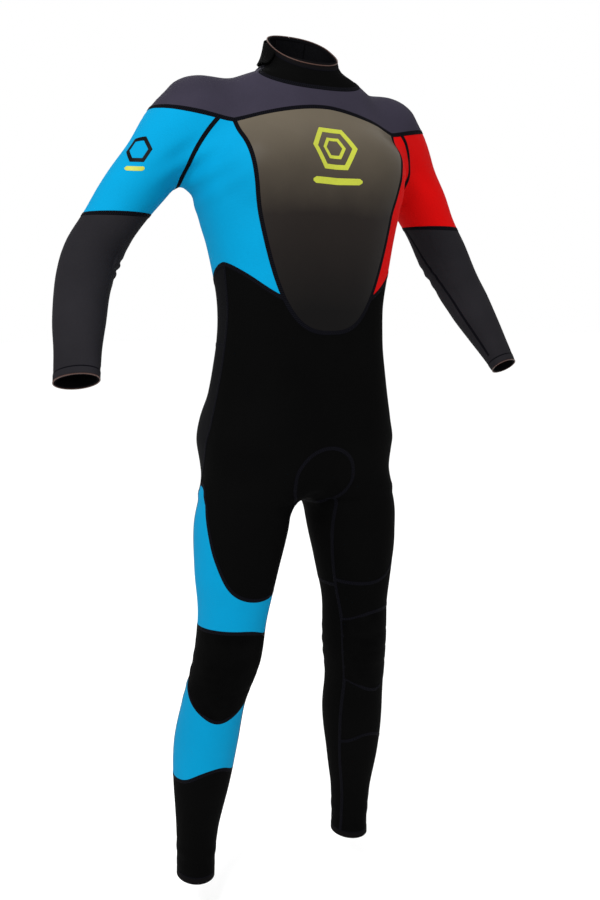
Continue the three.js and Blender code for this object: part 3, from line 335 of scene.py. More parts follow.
class Skin:
    """Points, quads, and the open ends' points with the way each end faces."""

    def __init__(self):
        self.points = []
        self.faces = []
        self.open = {}

    def add(self, x, y, z):
        self.points.append((x, y, z))
        return len(self.points) - 1

    def bridge(self, ring, following, flip=False):
        for i, a in enumerate(ring):
            j = (i + 1) % len(ring)
            quad = [a, following[i], following[j], ring[j]]
            self.faces.append(quad[::-1] if flip else quad)

    def torso_ring(self, z):
        centre, width, front, back = (float(v) for v in torso_section(z))
        ring = []
        for column in range(AROUND["torso"]):
            angle = math.pi * (1 + 2 * column / AROUND["torso"])
            c, s = math.cos(angle), math.sin(angle)
            power = 2 / SQUARENESS
            depth = centre - front if s < 0 else back - centre
            x = width * math.copysign(abs(c) ** power, c)
            ring.append(self.add(x, centre + depth * math.copysign(abs(s) ** power, s), z))
        return ring

    def leg_ring(self, z, side):
        cx, cy, width, depth = (float(v) for v in leg_section(z))
        start = math.pi if side < 0 else 0
        ring = []
        for k in range(AROUND["leg"]):
            angle = start + 2 * math.pi * k / AROUND["leg"]
            ring.append(self.add(side * cx + width * math.cos(angle), cy + depth * math.sin(angle), z))
        return ring

    def crotch_row(self):
        """The torso's columns outside, and three points across between the legs."""
        row = self.torso_ring(CROTCH["height"])
        self.points[row[6]] = (0, CROTCH["front"], CROTCH["height"])
        self.points[row[18]] = (0, CROTCH["back"], CROTCH["height"])
        middle = self.add(*CROTCH["middle"])
        right = row[0:7] + [middle] + row[18:24]
        left = row[12:19] + [middle] + row[6:12]
        return row, right, left

    def neck_point(self, k):
        angle = math.pi * (1 + k / 6)
        y = NECK_SEAM["y"] + NECK_SEAM["half_depth"] * math.sin(angle)
        return self.add(NECK_SEAM["half_width"] * math.cos(angle), y, float(neck_seam_height(y)) + 2)

    def sheet(self, bottom, upper):
        rows = AROUND["arm_rows"]
        lines = [bottom]
        for i in range(1, rows):
            share = i / rows
            line = []
            for low, high in zip(bottom, upper):
                a, b = self.points[low], self.points[high]
                line.append(self.add(*(a[k] + (b[k] - a[k]) * share for k in range(3))))
            lines.append(line)
        lines.append(upper)
        for low, high in zip(lines, lines[1:]):
            for k in range(len(bottom) - 1):
                self.faces.append([low[k], low[k + 1], high[k + 1], high[k]])
        return lines

    def shoulders(self, armpit_row):
        half = AROUND["torso"] // 2
        top = []
        for column in range(half + 1):
            step = min(column, half - column)
            side = -1 if column < half / 2 else 1
            if step < len(SHOULDER_TOP):
                x, y, z = SHOULDER_TOP[step]
                top.append(self.add(side * x, y, z))
            else:
                top.append(self.neck_point(column - 3))
        top_back = []
        for column in range(half, 2 * half + 1):
            mirror = 2 * half - column
            on_shoulder = mirror <= 3 or mirror >= half - 3
            top_back.append(top[mirror] if on_shoulder else self.neck_point(column - 9))
        front = self.sheet(armpit_row[:half + 1], top)
        back = self.sheet(armpit_row[half:] + [armpit_row[0]], top_back)

        def armhole(ahead, behind, ahead_end, behind_end):
            rising = [line[ahead_end] for line in ahead]
            return rising + [line[behind_end] for line in behind[1:-1][::-1]]
        neck = top[3:10] + top_back[4:9]
        return armhole(front, back, 0, half), armhole(back, front, 0, half), neck

    def arm_rings(self, armhole, side):
        count = round((ARM_LENGTH - FIRST_ARM_ROW) / ARM_ROW_STEP)
        ring = armhole
        for i in range(count + 1):
            at = FIRST_ARM_ROW + (ARM_LENGTH - FIRST_ARM_ROW) * i / count
            position = np.array([at / ARM_LENGTH * (len(STATIONS) - 1)])
            _, place, wide, thin, direction, wide_way, thin_way = (v[0] for v in arm_frame(position))
            inner = np.array([-1.0, 0, 0])
            inner = unit(inner - (inner @ direction) * direction)
            ahead = -np.cross(direction, inner)
            if ahead[1] > 0:
                ahead = -ahead
            following = []
            for k in range(len(armhole)):
                angle = -side * 2 * math.pi * k / len(armhole)
                way = inner * math.cos(angle) + ahead * math.sin(angle)
                radius = 1 / math.hypot(way @ wide_way / wide, way @ thin_way / thin)
                x, y, z = place + way * radius
                following.append(self.add(side * x, y, z))
            self.bridge(ring, following, True)
            ring = following
        facing = STATIONS[-1, 6:9] * [side, 1, 1]
        for i in ring:
            self.open[i] = facing

    def collar_rows(self, neck):
        row = neck
        for share in (0.25, 0.5, 0.75, 1):
            following = []
            for k, low in enumerate(neck):
                angle = math.pi * (1 + k / 6)
                rim = rim_place(math.cos(angle), math.sin(angle))
                for _ in range(6):
                    rim = settle(rim[None], 1)[0]
                    rim = rim + RIM_FACING * ((NECK_OPENING - rim) @ RIM_FACING)
                foot = np.array(self.points[low])
                following.append(self.add(*(foot + (rim - foot) * share)))
            self.bridge(row, following, True)
            row = following
        for i in row:
            self.open[i] = RIM_FACING

    def build(self):
        ring, right_top, left_top = self.crotch_row()
        for z in TORSO_ROWS:
            following = self.torso_ring(z)
            self.bridge(ring, following, True)
            ring = following
        for side, top in ((-1, right_top), (1, left_top)):
            for z in LEG_ROWS:
                following = self.leg_ring(z, side)
                self.bridge(top, following)
                top = following
            for i in top:
                self.open[i] = np.array([0.0, 0, -1])
        right, left, neck = self.shoulders(ring)
        self.arm_rings(right, -1)
        self.arm_rings(left, 1)
        self.collar_rows(neck)
        self.points = np.array(self.points, float)
        self.faces = np.array(self.faces)

    def relax(self, times, amount=0.5):
        """Evens out the skin on the form; the open ends stay where they are."""
        ends = np.concatenate([self.faces, np.roll(self.faces, -1, 1)]).reshape(-1)
        starts = np.concatenate([np.roll(self.faces, -1, 1), self.faces]).reshape(-1)
        held = np.zeros(len(self.points), bool)
        held[list(self.open)] = True
        share = np.bincount(starts, minlength=len(self.points))[:, None]
        for n in range(times):
            middle = np.zeros_like(self.points)
            for k in range(3):
                middle[:, k] = np.bincount(starts, self.points[ends, k], len(self.points))
            middle /= share
            moved = self.points + (middle - self.points) * amount
            moved = settle(moved, 1 if n < times - 1 else 3)
            self.points = np.where(held[:, None], self.points, moved)

    def subdivide(self):
        """Each quad becomes four, with the new points settled on the form."""
        a, b = self.faces, np.roll(self.faces, -1, 1)
        pairs = np.stack([np.minimum(a, b), np.maximum(a, b)], -1).reshape(-1, 2)
        edges, which = np.unique(pairs, axis=0, return_inverse=True)
        which = which.reshape(self.faces.shape)
        count = len(self.points)
        middles = self.points[edges].mean(1)
        centres = self.points[self.faces].mean(1)
        alone = np.bincount(which.reshape(-1)) == 1
        rim = [n for n, (i, j) in enumerate(edges) if alone[n] and i in self.open and j in self.open]
        facing = np.array([self.open[edges[n, 0]] for n in rim])
        self.open.update(zip((count + n for n in rim), facing))
        start = rim_middles = middles[rim]
        for _ in range(4):
            rim_middles = settle(rim_middles, 1)
            rim_middles = rim_middles - facing * ((rim_middles - start) * facing).sum(1)[:, None]
        middles = settle(middles, 2)
        middles[rim] = rim_middles
        centre_index = count + len(edges) + np.arange(len(centres))
        mid = which + count
        quads = [np.stack([self.faces[:, k], mid[:, k], centre_index, mid[:, k - 1]], -1) for k in range(4)]
        self.points = np.vstack([self.points, middles, settle(centres, 2)])
        self.faces = np.concatenate(quads)


# ---- seams

def seam_curve(rows):
    curve = sampled(rows, 1.0)
    return lambda position: curve(position)[0]


side_seam_y = seam_curve(SIDE_SEAM)
inseam_y = seam_curve(INSEAM)
waist_height = seam_curve(WAIST_SEAM)
thigh_seam = seam_curve(THIGH_SEAM)
knee_top = seam_curve(KNEE_TOP_SEAM)
knee_bottom = seam_curve(KNEE_BOTTOM_SEAM)
shin_seam = seam_curve(SHIN_SEAM)


class Spots:
    """Points on the form and the measures that the seams are drawn by, the same on both sides."""

    def __init__(self, points):
        self.points = points
        self.x, self.y, self.z = points.T
        self.across = np.abs(self.x)

    @property
    def above_neck(self):
        return self.z - neck_seam_height(self.y)

    @property
    def above_yoke(self):
        x = self.across
        behind = YOKE["back"] + YOKE["back_rise"] * (x / YOKE["back_width"]) ** 2
        chest = YOKE["top"] - YOKE["drop"] * (x / YOKE["corner"]) ** 1.6
        sleeve = YOKE["top"] - YOKE["drop"] + YOKE["side_rise"] * (x - YOKE["corner"]) / YOKE["side_width"]
        return self.z - np.where(self.y > 20, behind, np.where(x < YOKE["corner"], chest, sleeve))

    @property
    def past_armhole(self):
        x = self.across - ARMHOLE["x"]
        z = self.z - ARMHOLE["z"]
        return np.where(z > 0, np.hypot(x, z), x) - ARMHOLE["radius"]

    @property
    def beside_chest(self):
        return (self.across / CHEST["half_width"]) ** 3 - (self.z - CHEST["bottom"]) / CHEST["height"]

    @property
    def past_gusset(self):
        return np.hypot(self.x, self.z - GUSSET["height"]) - GUSSET["radius"]

    @property
    def above_waist(self):
        return self.z - waist_height(self.y)

    @property
    def behind_side(self):
        return self.y - side_seam_y(self.z)

    @property
    def behind_leg_seams(self):
        outer = self.across > leg_section(self.z)[0]
        return self.y - np.where(outer, side_seam_y(self.z), inseam_y(self.z))

    @property
    def angle(self):
        """Degrees round the leg from its front, outwards above zero."""
        cx, cy, _, _ = leg_section(self.z)
        return np.degrees(np.arctan2(self.across - cx, cy - self.y))

    def above(self, height_at_angle):
        return self.z - height_at_angle(self.angle)

    @property
    def past_knee_pad(self):
        share = (KNEE_SIDE["top"] - self.z) / (KNEE_SIDE["top"] - KNEE_SIDE["bottom"])
        return self.angle - (KNEE_SIDE["top_angle"] + KNEE_SIDE["turn"] * share)

    @property
    def to_wrist_hem(self):
        along = arm_frame(arm_position(mirrored(self.points)))[0]
        return along - ARM_LENGTH + HEM["height"]

    @property
    def to_rim_binding(self):
        return (NECK_OPENING - self.points) @ RIM_FACING - BINDING["height"]

    @property
    def arm(self):
        return (self.past_armhole > 0) & (self.z > 950) & (self.above_yoke < 0)

    @property
    def leg(self):
        return (self.z < LEG_TOP) & ~self.arm

    @property
    def torso(self):
        return ~self.arm & (self.z > LEG_TOP) & (self.above_yoke < 0)

    @property
    def front(self):
        return np.where(self.leg, self.behind_leg_seams, self.behind_side) < 0

    @property
    def leg_inside_back(self):
        return self.leg & ~self.front & (self.angle < 0)

    def near(self, z, reach):
        return np.abs(self.z - z) < reach


# Each seam: a measure that is zero on it, and where it runs.
SEAMS = [
    (lambda p: p.above_neck, lambda p: (p.z > 1400) & (p.across < 130)),
    (lambda p: p.above_yoke, lambda p: (p.z > 1340) & (p.above_neck < 0)),
    (lambda p: p.past_armhole, lambda p: (p.above_yoke < 0) & (p.z > 1230) & (p.across < 260)),
    (lambda p: p.z - SLEEVE_SEAM_HEIGHT, lambda p: p.arm & (p.z > 1200)),
    (lambda p: p.to_wrist_hem, lambda p: p.arm & (p.z < 1060)),
    (lambda p: p.beside_chest, lambda p: p.torso & (p.y < -20) & (p.z > 1040)),
    (lambda p: p.above_waist, lambda p: p.torso & p.near(1150, 70) & (p.beside_chest > 0)),
    (lambda p: p.behind_side, lambda p: p.torso & (p.above_waist < 0)),
    (lambda p: p.across - BACK_SEAM, lambda p: p.torso & (p.y > 20) & (p.above_waist > 0)),
    (lambda p: p.across - ZIP["slot"],
     lambda p: (p.y > 20) & (p.z > ZIP["bottom"] - 12) & (p.above_neck < 0)),
    (lambda p: p.z - ZIP["bottom"] + ZIP["foot"], lambda p: p.torso & ~p.front & p.near(1060, 80)),
    (lambda p: p.across - COLLAR_SLIT, lambda p: (p.y > 20) & (p.above_neck > 0)),
    (lambda p: p.to_rim_binding, lambda p: p.above_neck > 10),
    (lambda p: p.past_gusset, lambda p: (p.z < 900) & (p.across < 80) & (p.y < 85)),
    (lambda p: p.y - GUSSET["back"], lambda p: p.past_gusset < 0),
    (lambda p: p.behind_leg_seams, lambda p: p.leg & (p.past_gusset > 0)),
    (lambda p: p.z - SEAT_SEAM, lambda p: ~p.front & (p.past_gusset > 0) & p.near(790, 70)),
    (lambda p: p.above(thigh_seam), lambda p: p.near(725, 135) & p.front & (p.past_gusset > 0)),
    (lambda p: p.z - INNER_THIGH["bottom"], lambda p: p.leg_inside_back & (p.y < 70) & (p.z > 575)),
    (lambda p: p.y - INNER_THIGH["back"], lambda p: p.leg_inside_back & p.near(710, 80)),
    (lambda p: p.above(knee_top), lambda p: p.near(570, 60) & p.front),
    (lambda p: p.above(knee_bottom), lambda p: p.near(440, 80) & p.front & (p.past_knee_pad < 14)),
    (lambda p: p.past_knee_pad,
     lambda p: p.leg & p.front & (p.angle > 30) & (p.above(knee_top) < 0) & (p.above(knee_bottom) > 0)),
    (lambda p: p.above(shin_seam), lambda p: p.near(305, 60) & p.front),
    (lambda p: p.z - ANKLE_HEIGHT - HEM["height"], lambda p: p.z < 160),
]


def panel_names(points):
    """The name of the panel that each point on the form belongs to; empty in the open slits."""
    p = Spots(points)
    behind = p.y > 20
    collar = (p.above_neck > 0) & (p.across < 130) & (p.z > 1400)
    arm, front, angle = p.arm, p.front, p.angle
    above_waist = (p.z > LEG_TOP) & (p.above_waist > 0)
    above_slot_foot = p.z > ZIP["bottom"] - ZIP["foot"]
    rules = [
        (collar & behind & (p.across < COLLAR_SLIT), ""),
        (collar & (p.to_rim_binding > 0), "collar"),
        (collar, "collar_binding"),
        (behind & (p.across < ZIP["slot"]) & above_slot_foot, ""),
        ((p.z > 1340) & (p.above_yoke > 0), "shoulder_yoke"),
        (arm & (p.to_wrist_hem > 0), "wrist_hem_"),
        (arm & (p.z > SLEEVE_SEAM_HEIGHT), "upper_sleeve_"),
        (arm, "forearm_"),
        ((p.z > 1000) & (p.y < -20) & (p.beside_chest < 0), "chest_panel"),
        (above_waist & behind & (p.across < BACK_SEAM), "back_panel_"),
        (above_waist, "side_panel_"),
        ((p.past_gusset < 0) & (p.y < GUSSET["back"]) & (p.z < 900), "crotch_gusset"),
        ((p.z > LEG_TOP) & front, "front_panel"),
        (above_slot_foot, "back_panel_"),
        (p.z > LEG_TOP, "seat_panel"),
        (p.z < ANKLE_HEIGHT + HEM["height"], "ankle_hem_"),
        (front & (p.above(thigh_seam) > 0), "front_panel"),
        (front & (p.above(knee_top) > 0), "thigh_panel_"),
        (front & (p.above(knee_bottom) > 0) & (p.past_knee_pad < 0), "knee_pad_"),
        (front & (p.above(shin_seam) > 0), "shin_"),
        (front, "lower_leg_"),
        ((angle < 0) & (p.z > INNER_THIGH["bottom"]) & (p.y < INNER_THIGH["back"]), "inner_thigh_"),
        (p.z > SEAT_SEAM, "seat_panel"),
        (p.z > 0, "leg_back_"),
    ]
    names = np.full(len(points), "?", dtype=object)
    for test, name in rules:
        chosen = test & (names == "?")
        names[chosen] = name
        if name.endswith("_"):
            names[chosen & (p.x < 0)] = name + "right"
            names[chosen & (p.x >= 0)] = name + "left"
    return names


# Panels with a thread line along their open edge, and where the line is.
EDGE_THREADS = [("collar_binding", "rim"), ("wrist_hem_right", "wrist_right"),
                ("wrist_hem_left", "wrist_left")]
# Merged panels of cloth that runs on past a CAD split at a joint, and the CAD nodes they stand for.
MERGED = {
    "shin": ["knee_side", "shin_panel"],
    "leg_back": ["thigh_back", "knee_back", "calf_panel"],
    "forearm": ["elbow_section", "forearm_sleeve"],
}


def sides_of(face):
    """A face's edges, each as it runs."""
    return zip(face, face[1:] + face[:1])


def low_first(a, b):
    return (a, b) if a < b else (b, a)


class Cutting:
    """The skin as polygons of up to eight corners, cut along one seam after another."""

    WIDTH = 8

    def __init__(self, skin):
        self.points = skin.points
        self.open = skin.open
        self.faces = np.full((len(skin.faces), self.WIDTH), -1)
        self.faces[:, :4] = skin.faces
        self.on_seam = set()

    def middles(self):
        there = self.faces >= 0
        total = (self.points[self.faces] * there[..., None]).sum(1)
        return total / there.sum(1)[:, None]

    def corners(self, f):
        return [int(i) for i in self.faces[f] if i >= 0]

    def put(self, f, face):
        self.faces[f] = -1
        self.faces[f, :len(face)] = face

    def crossing(self, a, b, side):
        """Where a seam crosses the edges between points a and b."""
        low, high = np.zeros(len(a)), np.ones(len(a))
        rising = side(Spots(b)) > 0
        for _ in range(9):
            t = (low + high) / 2
            p = settle(a + (b - a) * t[:, None], 1)
            past = (side(Spots(p)) > 0) == rising
            high = np.where(past, t, high)
            low = np.where(past, low, t)
        return p

    def cut(self, side, where, near=0.2, nearest=0.06):
        values = side(Spots(self.points))
        face_values = np.where(self.faces >= 0, values[self.faces], np.nan)
        rows = np.flatnonzero((np.nanmax(face_values, 1) > 0) & (np.nanmin(face_values, 1) < 0))
        rows = rows[where(Spots(self.middles()[rows]))]
        edges = {low_first(a, b) for f in rows for a, b in sides_of(self.corners(f))
                 if values[a] * values[b] < 0}
        if not edges:
            return
        pairs = np.array(sorted(edges))
        a, b = self.points[pairs.T]
        places = self.crossing(a, b, side)
        length = np.linalg.norm(b - a, axis=1)
        share = np.linalg.norm(places - a, axis=1) / np.maximum(length, 1e-6)
        for n, (i, j) in enumerate(pairs):
            close = i if share[n] < near else j if share[n] > 1 - near else -1
            if close < 0 or values[i] * values[j] >= 0:
                continue
            if close not in self.open and close not in self.on_seam:
                self.points[close] = places[n]
                values[close] = 0
            elif min(share[n], 1 - share[n]) < nearest:
                values[close] = 0
        cuts = {}
        added = []
        for n, (i, j) in enumerate(pairs):
            if values[i] * values[j] < 0:
                cuts[(i, j)] = len(self.points) + len(added)
                added.append(places[n])
                if i in self.open and j in self.open:
                    self.open[cuts[(i, j)]] = self.open[i]
        if added:
            self.points = np.vstack([self.points, added])
            values = np.r_[values, np.zeros(len(added))]
        for f in self.neighbours(cuts):
            full = []
            for i, j in sides_of(self.corners(f)):
                full.append(i)
                if low_first(i, j) in cuts:
                    full.append(cuts[low_first(i, j)])
            self.put(f, full)
        self.divide(rows, values)

    def neighbours(self, cuts):
        """The faces that have one of the cut edges."""
        ends = np.zeros(len(self.points), bool)
        ends[[i for pair in cuts for i in pair]] = True
        touched = (ends[self.faces] & (self.faces >= 0)).sum(1) >= 2
        return np.flatnonzero(touched)

    def divide(self, rows, values):
        """Splits the faces that have corners on both sides of the seam."""
        fresh = []
        for f in rows:
            full = self.corners(f)
            signs = values[full]
            if max(signs) <= 0 or min(signs) >= 0:
                continue
            self.on_seam.update(i for i in full if values[i] == 0)
            parts = [[i for i in full if values[i] * sign >= 0] for sign in (1, -1)]
            parts = [part for part in parts if len(part) > 2]
            self.put(f, parts[0])
            fresh.extend(parts[1:])
        count = len(self.faces)
        self.faces = np.vstack([self.faces, np.full((len(fresh), self.WIDTH), -1)])
        for n, part in enumerate(fresh):
            self.put(count + n, part)


# ---- relief of the cloth

def bump_at(distance, reach):
    return np.exp(-(distance / reach) ** 2)


def relief(p):
    """How far the worn cloth stands off the form: creases at the joints and soft unevenness."""
    x, y, z = p.T
    side, across = np.sign(x), np.abs(x)
    rise = 0.35 * np.sin(x / 31 + 1.3 * np.sin(z / 47)) * np.sin(z / 38 + y / 44)
    rise += 0.25 * np.sin(y / 17 + z / 23 + side * 1.1) * np.sin(x / 19 - z / 29)
    arm = np.flatnonzero(Spots(p).arm & (across > 150))
    if len(arm):
        q = mirrored(p[arm])
        at, place, _, _, _, wide_way, thin_way = arm_frame(arm_position(q))
        round_arm = np.arctan2(((q - place) * thin_way).sum(1), ((q - place) * wide_way).sum(1))
        inside = 0.5 + 0.5 * np.cos(round_arm - INNER_ELBOW)
        past = at - ELBOW_AT
        crease = np.cos((past + 5 * np.sin(2 * round_arm)) / 3.6) * bump_at(past - 2, 26)
        rise[arm] += (2.0 - 0.7 * side[arm]) * inside ** 2 * crease
        twist = np.sin(past / 21 + 1.7 * round_arm) * bump_at(past + 10, 75)
        rise[arm] += 1.5 * twist
    armpit = bump_at(np.hypot(across - 196, z - 1318), 44)
    rise += 2.2 * armpit * np.sin((across * 0.5 + z * 0.86 + 0.15 * y) / 5.2)
    knee_back = bump_at(z - 500, 46) * np.clip((y - 40) / 45, 0, 1)
    rise += 1.3 * knee_back * np.cos((z - 500 + 0.12 * (across - 130)) / 4.4)
    groin = bump_at(np.hypot(across - 62, z - 812), 42) * (y < 30)
    rise += 1.0 * groin * np.sin((z - 0.9 * across) / 6.5)
    back_waist = bump_at(z - 1090, 45) * np.clip((y - 30) / 40, 0, 1)
    rise += 0.8 * back_waist * np.sin(z / 6.8 + across / 60)
    ankle = bump_at(z - 135, 26)
    rise += 0.6 * ankle * np.sin(z / 5.2 + 0.6 * np.sin(x / 14))
    return rise


ELBOW_POSITION = arm_position(np.array([ELBOW["place"]], float))
ELBOW_AT = arm_frame(ELBOW_POSITION)[0][0]
INNER_ELBOW = math.radians(-100)


# ---- meshes

def to_row(points):
    return (np.asarray(points, float) - NECK_OPENING) / 1000


def placed(name, data):
    """A new object in the scene."""
    made = bpy.data.objects.new(name, data)
    bpy.context.scene.collection.objects.link(made)
    return made


def make_mesh(name, points, faces, materials, face_materials=None, sharp=40, uvs=None):
    """An object from points in millimetres; uvs holds one pair per corner, in face order."""
    mesh = bpy.data.meshes.new(name)
    mesh.from_pydata(to_row(points).tolist(), [], [list(map(int, f)) for f in faces])
    for material in materials:
        mesh.materials.append(material)
    if face_materials is not None:
        mesh.polygons.foreach_set("material_index", np.array(face_materials, np.int32))
    if uvs is not None:
        layer = mesh.uv_layers.new(name="UVMap")
        layer.data.foreach_set("uv", np.asarray(uvs, np.float32).reshape(-1))
    mesh.validate()
    mesh.shade_smooth()
    mesh.set_sharp_from_angle(angle=math.radians(sharp))
    return placed(name, mesh)


def boundary_of(faces):
    seen = {side for face in faces for side in sides_of(face)}
    return [(a, b) for a, b in seen if (b, a) not in seen]


def panel_mesh(name, faces, points, normals, rise, materials, lift, thickness):
    """A panel as a closed shell with a rounded outer edge; its inside is the lining."""
    edges = boundary_of(faces)
    inwards = {}
    for a, b in edges:
        along = unit(points[b] - points[a])
        for i in (a, b):
            inwards.setdefault(i, []).append(unit(np.cross(normals[i], along)))
    used = sorted({i for face in faces for i in face})
    index = {i: n for n, i in enumerate(used)}
    base = points[used] + normals[used] * rise[used][:, None]
    way = np.zeros((len(used), 3))
    for i, ways in inwards.items():
        total = np.mean(ways, 0)
        way[index[i]] = total / max(float(total @ total), 0.4)
    out = normals[used]
    rim = sorted(inwards)
    rim_rows = [index[i] for i in rim]
    top = base + out * lift + way * CUT_EDGE["round"]
    shoulder = (base + out * (lift - CUT_EDGE["round"]) + way * CUT_EDGE["tuck"])[rim_rows]
    bottom = base + out * (lift - thickness) + way * CUT_EDGE["tuck"]
    rows = [top, bottom, shoulder]
    count = len(used)
    at_rim = {i: 2 * count + n for n, i in enumerate(rim)}
    polygons = []
    kinds = []
    for face in faces:
        polygons.append([index[i] for i in face])
        polygons.append([index[i] + count for i in reversed(face)])
        kinds += [0, 1]
    for a, b in edges:
        polygons.append([index[b], index[a], at_rim[a], at_rim[b]])
        polygons.append([at_rim[b], at_rim[a], index[a] + count, index[b] + count])
        kinds += [0, 1]
    return make_mesh(name, np.vstack(rows), polygons, materials, kinds, 50)


def chains_of(edges):
    """Edges walked into lines of points; a closed line repeats its first point."""
    near = {}
    for a, b in edges:
        near.setdefault(a, []).append(b)
        near.setdefault(b, []).append(a)
    left = {low_first(a, b) for a, b in edges}
    chains = []

    def following(here):
        return [there for there in near[here] if low_first(here, there) in left]
    for start in sorted(i for i in near if len(near[i]) != 2) + sorted(near):
        while following(start):
            line = [start]
            while following(line[-1]):
                line.append(following(line[-1])[0])
                left.discard(low_first(*line[-2:]))
                if len(near[line[-1]]) != 2:
                    break
            chains.append(line)
    return chains


def evened(line, smoothing=6):
    """A line of points on the form at an even step, smoothed; its ends stay."""
    step = 4.5
    closed = np.allclose(line[0], line[-1])
    lengths = lengths_along(line)
    count = max(int(round(lengths[-1] / step)), 3)
    at = np.linspace(0, lengths[-1], count + 1)
    p = np.stack([np.interp(at, lengths, line[:, k]) for k in range(3)], 1)
    for _ in range(smoothing):
        if closed:
            ring = p[:-1]
            ring = ring * 0.5 + (np.roll(ring, 1, 0) + np.roll(ring, -1, 0)) * 0.25
            p = np.vstack([ring, ring[:1]])
        else:
            p[1:-1] = p[1:-1] * 0.5 + (p[:-2] + p[2:]) * 0.25
    return settle(p, 2)


BAND_PROFILE = [(-1, -0.3), (-0.86, 0.42), (-0.45, 0.62), (-0.12, 0.5), (0, 0.34), (0.12, 0.5),
                (0.45, 0.62), (0.86, 0.42), (1, -0.3), (0.6, -1.2), (-0.6, -1.2)]


class Ribbons:
    """Raised strips that follow lines on the form, gathered into one mesh."""

    def __init__(self):
        self.points, self.faces, self.uvs = [], [], []
        self.count = 0

    def add(self, line, half_width, lift=0.0):
        closed = np.allclose(line[0], line[-1])
        p = line[:-1] if closed else line
        ahead = np.roll(p, -1, 0) - np.roll(p, 1, 0)
        if not closed:
            ahead[0] = p[1] - p[0]
            ahead[-1] = p[-1] - p[-2]
        normal = unit(outward(p))
        across = unit(np.cross(ahead, normal))
        ring = []
        for offset, height in BAND_PROFILE:
            spot = settle(p + across * offset * half_width, 1)
            way = unit(outward(spot))
            ring.append(spot + way * (height + lift + relief(spot))[:, None])
        rows, width = len(p), len(BAND_PROFILE)
        self.points.append(np.stack(ring, 1).reshape(-1, 3))
        along = lengths_along(line) / 10
        base = self.count
        for r in range(rows if closed else rows - 1):
            s = (r + 1) % rows
            for k in range(width):
                j = (k + 1) % width
                self.faces.append([base + r * width + k, base + r * width + j,
                                   base + s * width + j, base + s * width + k])
                u0, u1 = along[r], along[r + 1]
                v0, v1 = k / 8, (k + 1) / 8
                self.uvs += [(u0, v0), (u0, v1), (u1, v1), (u1, v0)]
        if not closed:
            for row, order in ((0, -1), (rows - 1, 1)):
                cap = [base + row * width + k for k in range(width)][::order]
                self.faces.append(cap)
                self.uvs += [(0, 0)] * width
        self.count += rows * width

    def piece(self, name, material):
        return make_mesh(name, np.vstack(self.points), self.faces, [material], uvs=self.uvs, sharp=60)


# ---- materials

def linear(srgb, factor=1.0):
    """An sRGB colour of 0 to 255 as Blender's linear colour, made lighter or darker by a factor."""
    values = [v / 255 for v in srgb]
    values = [v / 12.92 if v <= 0.04045 else ((v + 0.055) / 1.055) ** 2.4 for v in values]
    return tuple(min(v * factor, 1) for v in values) + (1,)


class Nodes:
    """A short way to lay out one material's nodes."""

    def __init__(self, name):
        self.material = bpy.data.materials.new(name)
        self.material.use_nodes = True
        self.tree = self.material.node_tree
        self.shader = self.tree.nodes["Principled BSDF"]
        self.place = self.coordinates("Object")

    def feed(self, socket, value):
        if isinstance(value, bpy.types.NodeSocket):
            self.tree.links.new(value, socket)
        else:
            socket.default_value = value

    def node(self, kind, inputs, **settings):
        made = self.tree.nodes.new("ShaderNode" + kind)
        for key, value in settings.items():
            setattr(made, key, value)
        for key, value in inputs.items():
            self.feed(made.inputs[key], value)
        return made

    def coordinates(self, kind):
        return self.node("TexCoord", {}).outputs[kind]

    def math(self, operation, *values):
        return self.node("Math", dict(enumerate(values)), operation=operation).outputs[0]

    def times_plus(self, value, factor, start):
        return self.math("MULTIPLY_ADD", value, factor, start)

    def noise(self, scale, detail=3.0, place=None):
        place = self.place if place is None else place
        inputs = {"Vector": place, "Scale": scale, "Detail": detail}
        return self.node("TexNoise", inputs).outputs["Fac"]

    def wave(self, scale, direction, distortion=0.6):
        inputs = {"Vector": self.place, "Scale": scale, "Distortion": distortion, "Detail Scale": 2.0}
        return self.node("TexWave", inputs, bands_direction=direction).outputs["Fac"]

    def ramp(self, fac, stops):
        made = self.node("ValToRGB", {"Fac": fac})
        elements = made.color_ramp.elements
        while len(elements) < len(stops):
            elements.new(0.5)
        for element, (position, colour) in zip(elements, stops):
            element.position = position
            element.color = colour if len(colour) == 4 else linear(colour)
        return made.outputs["Color"]

    def bump(self, height, distance, strength=1.0, before=None):
        inputs = {"Height": height, "Distance": distance, "Strength": strength}
        if before is not None:
            inputs["Normal"] = before
        return self.node("Bump", inputs).outputs["Normal"]

    def finish(self, colour, roughness, normal, specular=0.5, **shader):
        shader.update({"Base Color": colour, "Roughness": roughness, "Normal": normal,
                       "Specular IOR Level": specular})
        for key, value in shader.items():
            if value is not None:
                self.feed(self.shader.inputs[key.replace("_", " ")], value)
        return self.material


def jersey(name, colour, heather, specular):
    """Knitted nylon on foam: fine rows of loops, soft unevenness and slow colour change."""
    n = Nodes(name)
    slow = n.noise(9.0, 4.0)
    mixed = n.times_plus(n.noise(900.0, 2.0), 0.35, n.math("MULTIPLY", slow, 0.65))
    tint = n.ramp(mixed, [(0.3, linear(colour, 1 - heather)), (0.7, linear(colour, 1 + heather))])
    knit = n.math("MULTIPLY", n.wave(250.0, "Z"), n.wave(210.0, "DIAGONAL"))
    normal = n.bump(knit, 0.00025, 0.45)
    normal = n.bump(n.noise(260.0, 2.0), 0.0004, 0.35, normal)
    return n.finish(tint, n.times_plus(slow, 0.12, 0.74), normal, specular)


